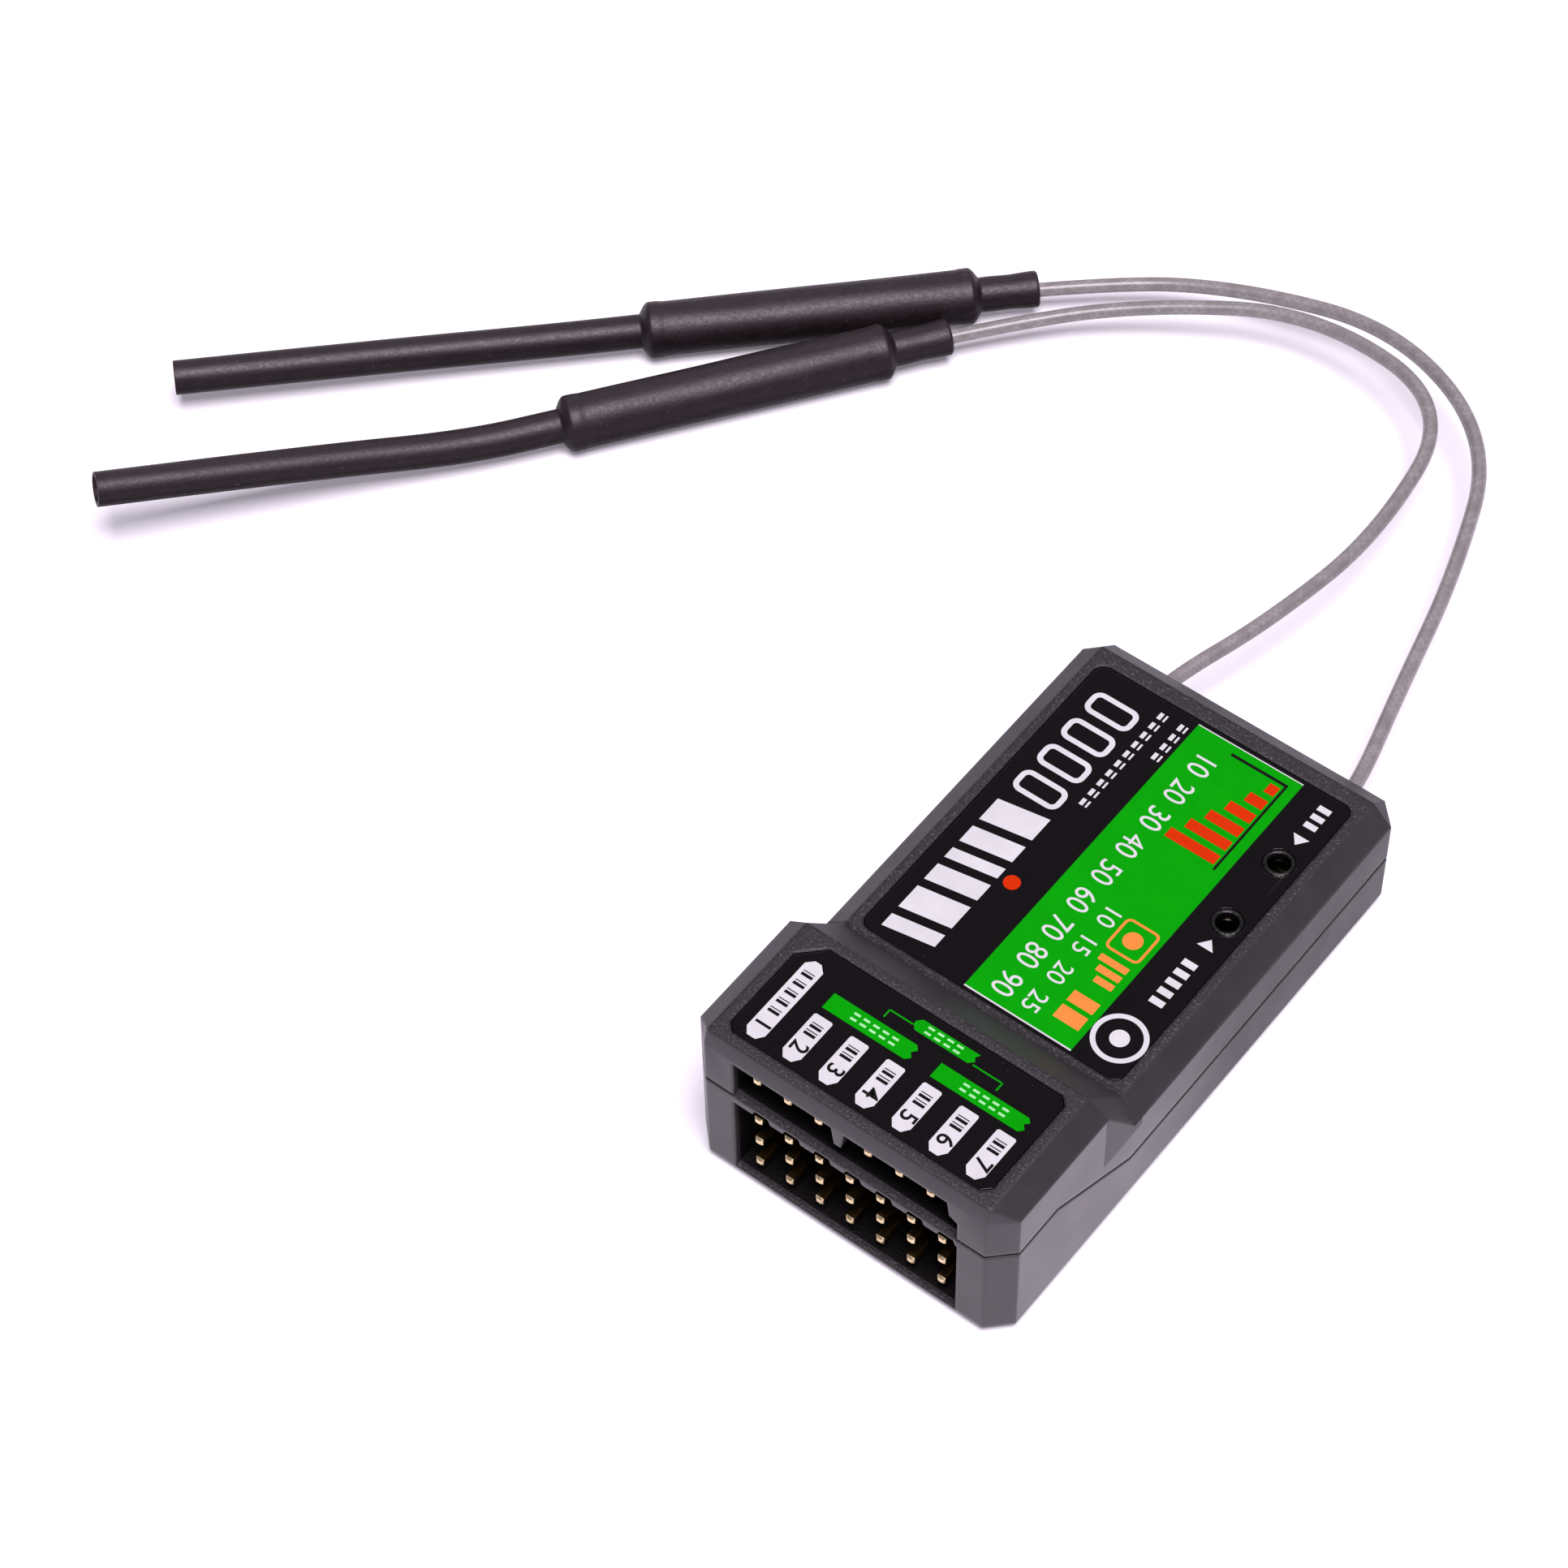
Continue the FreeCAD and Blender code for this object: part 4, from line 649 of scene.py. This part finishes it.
def floor_material():
    """Pale floor with a faint glow that only the camera and mirrored rays see, to look white."""
    material, tree, shader = new_material("pale_floor")
    cloud = noise(tree, object_place(tree), grain=60.0, detail=2.0)
    ray = add(tree, "ShaderNodeLightPath").outputs
    seen = combine(tree, "MAXIMUM", [
        ray["Is Camera Ray"], ray["Is Glossy Ray"], ray["Is Transmission Ray"]])
    feed(tree, shader, {
        "Base Color": mottled(tree, cloud, (0.815, 0.80, 0.84), (0.835, 0.82, 0.86)),
        "Roughness": 0.7,
        "Specular IOR Level": 0.2,
        "Emission Color": FLOOR_GLOW_COLOUR,
        "Emission Strength": calculate(tree, "MULTIPLY", seen, FLOOR_GLOW)})
    return material


# Objects and carried-over nodes

def new_object(name, data):
    """Object at the origin, linked to the scene."""
    piece = bpy.data.objects.new(name, data)
    bpy.context.scene.collection.objects.link(piece)
    return piece


def dress(name, material, rounding=None):
    """Give a node its material and, where wanted, softly rounded edges."""
    piece = NODES[name]
    piece.data.materials.clear()
    piece.data.materials.append(material)
    if rounding is None:
        return
    weld = piece.modifiers.new("weld", "WELD")
    weld.merge_threshold = WELD_REACH * MM
    planar = piece.modifiers.new("planar", "DECIMATE")
    planar.decimate_type = "DISSOLVE"
    planar.angle_limit = math.radians(FLAT_ANGLE)
    bevel = piece.modifiers.new("edge_rounding", "BEVEL")
    bevel.width = rounding * MM
    bevel.segments = 3
    bevel.limit_method = "ANGLE"
    bevel.angle_limit = math.radians(EDGE_ANGLE)
    bevel.use_clamp_overlap = True
    bevel.miter_outer = "MITER_ARC"
    weighted = piece.modifiers.new("weighted_normals", "WEIGHTED_NORMAL")
    weighted.keep_sharp = False


def dress_all():
    gold = gold_plate()
    looks = [
        (housing_plastic(), EDGE_ROUNDING, ["lower_shell", "upper_shell"]),
        (glossy_film("label_film", LABEL_BLACK, FILM_SHINE), LABEL_ROUNDING,
         ["main_label", "port_label"]),
        (gold, PIN_ROUNDING,
         ["ground_pins", "power_pins", "signal_pins", "bus_pins_left", "bus_pins_right"]),
        (gold, None,
         ["update_pad", "coax_socket_left", "coax_socket_right", "coax_plug_left",
          "coax_plug_right"]),
        (moulded("header_plastic", (0.008, 0.008, 0.009), 0.5), HEADER_ROUNDING,
         ["servo_header_base", "bus_header_base_left", "bus_header_base_right"]),
        (moulded("board_mask", (0.004, 0.02, 0.009), 0.35), None, ["port_board", "main_board"]),
        (moulded("chip_body", (0.012, 0.012, 0.013), 0.55), None,
         ["radio_chip", "controller_chip", "voltage_regulator"]),
        (moulded("capacitor_body", (0.45, 0.32, 0.2), 0.4), None,
         ["input_capacitor", "output_capacitor"]),
        (moulded("led_lens", (0.2, 0.2, 0.16), 0.3), None, ["status_led"]),
        (tinned_sheet("tinned_sheet", (0.62, 0.62, 0.64)), None, ["shield_can", "crystal"]),
        (tinned_sheet("dipole_metal", (0.72, 0.58, 0.34)), None,
         ["dipole_tube_left", "dipole_tube_right"]),
        (moulded("core_plastic", (0.75, 0.75, 0.72), 0.35), None,
         ["antenna_core_left", "antenna_core_right"])]
    for material, rounding, names in looks:
        for name in names:
            dress(name, material, rounding)


# Printed marks on the two labels

def plate(name, outlines, height, material):
    """Flat printed marks: closed outlines in millimetres at one height. An outline that is a
    pair of loops is a ring, the first loop being the outer one."""
    shape = bmesh.new()

    def corners(loop):
        return [shape.verts.new((x * MM, y * MM, height * MM)) for x, y in loop]

    for outline in outlines:
        if isinstance(outline[0][0], (tuple, list)):
            outer, inner = corners(outline[0]), corners(outline[1])
            for index in range(len(outer)):
                after = (index + 1) % len(outer)
                shape.faces.new((outer[index], outer[after], inner[after], inner[index]))
        else:
            shape.faces.new(corners(outline))
    shape.normal_update()
    for face in shape.faces:
        if face.normal.z < 0:
            face.normal_flip()
    mesh = bpy.data.meshes.new(name)
    shape.to_mesh(mesh)
    shape.free()
    mesh.materials.append(material)
    piece = new_object(name, mesh)
    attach(piece, "root")


def bar(left, right, near, far, slant=0.0):
    """Rectangle, or a leaning one when slant shifts its right side along Y."""
    return [(left, near), (right, near + slant), (right, far + slant), (left, far)]


def disc(x, y, radius):
    turn = 2 * math.pi / DISC_SIDES
    return [(x + radius * math.cos(turn * i), y + radius * math.sin(turn * i))
            for i in range(DISC_SIDES)]


def rounded(left, right, near, far, radius):
    """Rectangle with round corners."""
    points = []
    corners = ((right - radius, far - radius), (left + radius, far - radius),
               (left + radius, near + radius), (right - radius, near + radius))
    for index, (x, y) in enumerate(corners):
        for step in range(CORNER_SIDES + 1):
            angle = math.radians(90 * index + 90 * step / CORNER_SIDES)
            points.append((x + radius * math.cos(angle), y + radius * math.sin(angle)))
    return points


def frame_of(left, right, near, far, radius, line):
    """Rounded frame: an outer and an inner loop."""
    inner = rounded(left + line, right - line, near + line, far - line, radius - line)
    return (rounded(left, right, near, far, radius), inner)


def numeral(name, number, x, y, tall, height, material, condense=1.0, bold=0.0):
    """Plain number that reads along minus Y, centred on a place."""
    curve = bpy.data.curves.new(name, "FONT")
    curve.body = str(number)
    curve.size = tall * MM * FONT_SIZE
    curve.align_x = "CENTER"
    curve.align_y = "CENTER"
    curve.offset = bold * MM
    curve.resolution_u = 6
    curve.fill_mode = "FRONT"
    text = new_object(name + "_text", curve)
    bpy.context.view_layer.update()
    mesh = bpy.data.meshes.new_from_object(text)
    bpy.data.objects.remove(text)
    turn = Matrix.Rotation(-math.pi / 2, 4, "Z") @ Matrix.Diagonal((condense, 1.0, 1.0, 1.0))
    mesh.transform(Matrix.Translation((x * MM, y * MM, height * MM)) @ turn)
    mesh.materials.clear()
    mesh.materials.append(material)
    piece = new_object(name, mesh)
    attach(piece, "root")


def tag_outline(x, far, soft):
    """Tag with a cut point at its near end and softened corners at its far end."""
    cut, point = TAG_CUT
    left, right = x - TAG_HALF, x + TAG_HALF
    return [(left + cut, TAG_NEAR), (right - cut, TAG_NEAR), (right, TAG_NEAR + point),
            (right, far - soft), (right - soft, far), (left + soft, far),
            (left, far - soft), (left, TAG_NEAR + point)]


def port_prints(inks):
    """White channel tags with plain numbers, and green ribbons with their thin lines."""
    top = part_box("port_label")[1].z / MM + PRINT_LIFT
    mark_top = top + PRINT_STEP
    tags = []
    ticks = []
    columns = [TAG_MIDDLE + (index - 3) * TAG_PITCH for index in range(TAG_COUNT)]
    for index, x in enumerate(columns):
        if index == 0:
            tags.append(tag_outline(x, LONG_TAG_FAR, LONG_TAG_SOFT))
        else:
            tags.append(tag_outline(x, TAG_FAR, TAG_SOFT))
        for y in (TICKS if index else LONG_TAG_TICKS):
            ticks += [bar(x - TICK_HALF, x + TICK_HALF, y + near, y + far)
                      for near, far in TICK_STROKES]
    plate("port_tags", tags, top, inks["white"])
    for index, x in enumerate(columns):
        numeral("port_number_%d" % (index + 1), index + 1, x, TAG_NUMBER_PLACE, TAG_NUMBER_TALL,
                mark_top, inks["black"], bold=TAG_NUMBER_BOLD)
    plate("port_tag_ticks", ticks, mark_top, inks["black"])

    lines = [bar(*edges) for edges in RIBBON_LINES]
    plate("port_ribbons", RIBBONS + lines, top, inks["green"])
    marks = []
    inner, outer = RIBBON_MARK_REACH
    for start, y, count in RIBBON_MARKS:
        for index in range(count):
            x = start + index * RIBBON_MARK_PITCH
            marks.append(bar(x, x + RIBBON_MARK_LENGTH, y - outer, y - inner))
            marks.append(bar(x, x + RIBBON_MARK_LENGTH, y + inner, y + outer))
    plate("port_ribbon_marks", marks, mark_top, inks["pale_green"])


def green_band(inks, top):
    """Green band over a thin white edge, which is partly print and partly a painted highlight,
    closed on both long sides by the black of the label.
    """
    low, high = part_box("main_label")
    near, far = low.y / MM, high.y / MM
    left, right = BAND
    left_end, right_end = BAND_END_WIDTHS
    edge_left, edge_right, edge_near, edge_far = WHITE_EDGE_MARGINS
    # partly painted highlight: the thin white edge along the near and far sides of the band
    white_edge = bar(left - edge_left, right + edge_right, near + edge_near, far - edge_far)
    plate("band_white_edge", [white_edge], top, inks["white"])
    green = bar(left, right, near + BAND_MARGIN, far - BAND_MARGIN)
    plate("green_band", [green], top + PRINT_STEP, inks["green"])
    ends = [bar(left - left_end, left, near, far), bar(right, right + right_end, near, far)]
    plate("band_ends", ends, top + PRINT_STEP, inks["film"])


def white_marks():
    """Frames, leaning bars and dashes on the left strip; arrows, dashes and a ring on the right."""
    marks = []
    start, pitch, count = FRAME_ROWS
    for index in range(count):
        y = start - index * pitch
        marks.append(frame_of(*FRAME_SIDES, y - FRAME_TALL, y, FRAME_CORNER, FRAME_LINE))
    y = LEANING_START
    for width in LEANING_WIDTHS:
        marks.append(bar(*LEANING_SIDES, y - width, y, slant=LEANING_SLANT))
        y -= width + LEANING_GAP
    for x, start, end in DASH_COLUMNS:
        y = start
        while y - DASH_LENGTH > end:
            marks += [bar(x + left, x + right, y - DASH_LENGTH, y) for left, right in DASH_STROKES]
            y -= DASH_LENGTH + DASH_GAP
    marks += ARROWS
    for left, right, starts, length in (REAR_DASHES, FRONT_DASHES):
        marks += [bar(left, right, start - length, start) for start in starts]
    outer, inner, dot = RING_MARK_RADII
    marks.append((disc(*RING_MARK, outer), disc(*RING_MARK, inner)))
    marks.append(disc(*RING_MARK, dot))
    return marks


def main_prints(inks):
    """Green band, white marks, numbered scales and two small gauges: all of them plain."""
    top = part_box("main_label")[1].z / MM + PRINT_LIFT
    mark_top = top + 2 * PRINT_STEP
    green_band(inks, top)
    plate("white_marks", white_marks(), mark_top, inks["white"])
    for name, numbers, x, start, pitch, tall, condense in SCALES:
        for index, number in enumerate(numbers):
            numeral("%s_%d" % (name, index + 1), number, x, start - index * pitch, tall,
                    mark_top, inks["white"], condense=condense)
    plate("red_dot", [disc(*RED_DOT)], mark_top, inks["red"])
    gauge = []
    for index in range(GAUGE_BARS):
        y = GAUGE_START - index * GAUGE_PITCH
        left = GAUGE_LEFT - index * GAUGE_GROWTH
        gauge.append(bar(left, GAUGE_RIGHT, y - GAUGE_THICKNESS, y))
    plate("red_gauge", gauge, mark_top, inks["red"])
    plate("gauge_base", [bar(*edges) for edges in GAUGE_BASE], mark_top, inks["black"])
    orange = [frame_of(*ORANGE_FRAME), disc(*ORANGE_DISC)]
    orange += [bar(*edges) for edges in ORANGE_BARS]
    plate("orange_marks", orange, mark_top, inks["orange"])


# Leads and sleeves

def route_curve(name, points, bevel=None):
    """Smooth curve along a route in millimetres, round and closed where bevel is its radius."""
    curve = bpy.data.curves.new(name, "CURVE")
    curve.dimensions = "3D"
    curve.resolution_u = 16
    spline = curve.splines.new("NURBS")
    spline.points.add(len(points) - 1)
    for point, place in zip(spline.points, points):
        point.co = (place[0] * MM, place[1] * MM, place[2] * MM, 1.0)
    spline.order_u = 3
    spline.use_endpoint_u = True
    if bevel:
        curve.bevel_depth = bevel * MM
        curve.bevel_resolution = 8
        curve.use_fill_caps = True
    return new_object(name, curve)


def path_points(name, points):
    """Points along the smooth line of a route."""
    guide = route_curve(name, points)
    bpy.context.view_layer.update()
    mesh = bpy.data.meshes.new_from_object(guide)
    places = [vertex.co.copy() for vertex in mesh.vertices]
    bpy.data.objects.remove(guide)
    bpy.data.meshes.remove(mesh)
    return places


def path_at(places, distance):
    """Place and direction at a distance in metres along a line of points."""
    walked = 0.0
    for before, after in zip(places, places[1:]):
        step = (after - before).length
        if walked + step >= distance or after is places[-1]:
            way = (after - before).normalized()
            return before + way * (distance - walked), way
        walked += step


def eased(amount):
    """Smooth step from 0 to 1."""
    amount = min(max(amount, 0.0), 1.0)
    return amount * amount * (3 - 2 * amount)


def sleeve_radius(distance):
    """Outer radius of the sleeve at a distance in millimetres from its mouth."""
    tail_start = BODY_END - TAIL_OVERLAP
    if distance < COLLAR_LENGTH:
        flare = COLLAR_FLARE * (1 - eased(distance / FLARE_LENGTH))
        return COLLAR_RADIUS + flare + COLLAR_RIPPLE * math.sin(distance * 2.1)
    if distance < COLLAR_LENGTH + SHOULDER:
        share = math.sin(math.pi / 2 * (distance - COLLAR_LENGTH) / SHOULDER)
        return COLLAR_RADIUS + (BODY_RADIUS - COLLAR_RADIUS) * share
    if distance < tail_start:
        from_end = min(distance - COLLAR_LENGTH - SHOULDER, tail_start - distance)
        return BODY_RADIUS - BODY_DIP * eased((from_end - 0.5) / 0.6)
    if distance < tail_start + TAIL:
        share = 1 - math.cos(math.pi / 2 * (distance - tail_start) / TAIL)
        return BODY_RADIUS + (TUBE_RADIUS - BODY_RADIUS) * share
    return TUBE_RADIUS


def sleeve_rings(total):
    """Distance and radius of each ring of a sleeve, from inside its mouth over the outside to
    the inside of its tip; they lie closer together near the shoulders and the ends."""
    stations = []
    distance = 0.0
    while distance < total:
        stations.append(distance)
        near_shoulder = any(abs(distance - middle) < reach for middle, reach in FINE_ZONES)
        near_end = distance < END_ZONE or distance > total - END_ZONE
        distance += FINE_STEP if near_shoulder or near_end else COARSE_STEP
    bore = TUBE_RADIUS - TUBE_WALL
    outside = [(station, sleeve_radius(station)) for station in stations[1:]]
    tip = [(total - 0.03, TUBE_RADIUS), (total, TUBE_RADIUS - 0.05), (total, bore + 0.04),
           (total - 0.04, bore), (total - TUBE_DEPTH, bore)]
    return MOUTH_RINGS + outside + tip


def waviness(distance, angle, seed):
    """How far the wide body swells or sinks at a place, in millimetres; nothing at its ends.
    It is wavy and a little flat all round, swells slowly along its line, and sinks evenly."""
    on_body = (eased((distance - COLLAR_LENGTH) / BODY_EASE)
               * eased((BODY_END - distance) / BODY_EASE))
    wave = (0.012 * math.sin(3 * angle + seed + 0.25 * distance)
            + 0.008 * math.sin(5 * angle - 0.4 * distance))
    flat = 0.025 * math.cos(2 * angle + seed)
    swell = 0.015 * math.sin(distance * 0.4 + seed)
    return on_body * (wave + flat + swell - BODY_SINK)


def sleeve_mesh(name, route, material, seed):
    """Shrunk tube swept along its line: collar, wide body with soft shoulders, open tip."""
    places = path_points(name + "_line", route)
    total = sum((b - a).length for a, b in zip(places, places[1:])) / MM
    shape = bmesh.new()
    side = None
    loops = []
    for distance, radius in sleeve_rings(total):
        place, way = path_at(places, distance * MM)
        if side is None:
            side = Vector((0, 0, 1)).cross(way).normalized()
        side = (side - way * side.dot(way)).normalized()
        other = way.cross(side)
        loop = []
        for index in range(SLEEVE_SIDES):
            angle = 2 * math.pi * index / SLEEVE_SIDES
            reach = radius + waviness(distance, angle, seed)
            out = side * math.cos(angle) + other * math.sin(angle)
            loop.append(shape.verts.new(place + out * reach * MM))
        loops.append(loop)
    for first, second in zip(loops, loops[1:]):
        for index in range(SLEEVE_SIDES):
            after = (index + 1) % SLEEVE_SIDES
            shape.faces.new((first[index], first[after], second[after], second[index]))
    shape.faces.new(list(reversed(loops[-1])))
    bmesh.ops.recalc_face_normals(shape, faces=shape.faces[:])
    for face in shape.faces:
        face.smooth = True
    mesh = bpy.data.meshes.new(name)
    shape.to_mesh(mesh)
    shape.free()
    mesh.materials.append(material)
    return new_object(name, mesh)


def antennas():
    jacket = coax_jacket()
    tube = shrink_tube()
    for side, sign, lead, line, seed in (("right", 1, RIGHT_LEAD, RIGHT_SLEEVE, 0.4),
                                         ("left", -1, LEFT_LEAD, LEFT_SLEEVE, 2.2)):
        cable = route_curve("coax_" + side, lead, LEAD_DIAMETER / 2)
        cable.data.materials.append(jacket)
        sleeve = sleeve_mesh("sleeve_" + side, line, tube, seed)
        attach(cable, "root")
        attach(sleeve, "root")
        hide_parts("coax_lead_" + side)
        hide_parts("antenna_sleeve_" + side)


# Studio

def stage():
    mesh = bpy.data.meshes.new("floor")
    corners = [(x * FLOOR_REACH, y * FLOOR_REACH, 0)
               for x, y in ((-1, -1), (1, -1), (1, 1), (-1, 1))]
    mesh.from_pydata(corners, [], [(0, 1, 2, 3)])
    mesh.materials.append(floor_material())
    new_object("floor", mesh)


def softbox(name, place, width, depth, power):
    """Rectangular lamp that faces the origin, in metres and watts."""
    data = bpy.data.lights.new(name, "AREA")
    data.shape = "RECTANGLE"
    data.size = width
    data.size_y = depth
    data.energy = power
    data.color = LAMP_COLOUR
    light = new_object(name, data)
    light.location = place
    light.rotation_euler = (-Vector(place)).to_track_quat("-Z", "Y").to_euler()


def lighting():
    softbox("overhead", (0.36, -0.26, 1.42), 0.75, 0.75, 33.0)
    softbox("back_strip", (-0.80, 1.05, 0.98), 1.4, 0.5, 3.0)
    world = bpy.data.worlds.new("studio")
    world.use_nodes = True
    background = world.node_tree.nodes["Background"]
    background.inputs["Color"].default_value = WORLD_COLOUR
    background.inputs["Strength"].default_value = WORLD_STRENGTH
    bpy.context.scene.world = world


def camera():
    data = bpy.data.cameras.new("camera")
    data.lens = CAMERA_LENS
    data.sensor_width = CAMERA_SENSOR
    data.sensor_fit = "HORIZONTAL"
    data.clip_end = CAMERA_FAR * MM
    view = new_object("camera", data)
    turn = (Matrix.Rotation(math.radians(CAMERA_AZIMUTH), 4, "Z")
            @ Matrix.Rotation(math.radians(90.0 - CAMERA_ELEVATION), 4, "X")
            @ Matrix.Rotation(math.radians(CAMERA_ROLL), 4, "Z"))
    view.matrix_world = Matrix.Translation(Vector(CAMERA_PLACE) * MM) @ turn
    bpy.context.scene.camera = view


def main():
    camera()
    antennas()
    dress_all()
    inks = {
        "white": glossy_film("ink_white", INK_WHITE),
        "green": glossy_film("ink_green", INK_GREEN),
        "pale_green": glossy_film("ink_pale_green", INK_PALE_GREEN),
        "red": glossy_film("ink_red", INK_RED),
        "orange": glossy_film("ink_orange", INK_ORANGE),
        "black": glossy_film("ink_black", INK_BLACK),
        "film": glossy_film("ink_film", LABEL_BLACK, FILM_SHINE)}
    port_prints(inks)
    main_prints(inks)
    stage()
    lighting()
    bpy.context.scene.view_settings.view_transform = "Standard"


main()
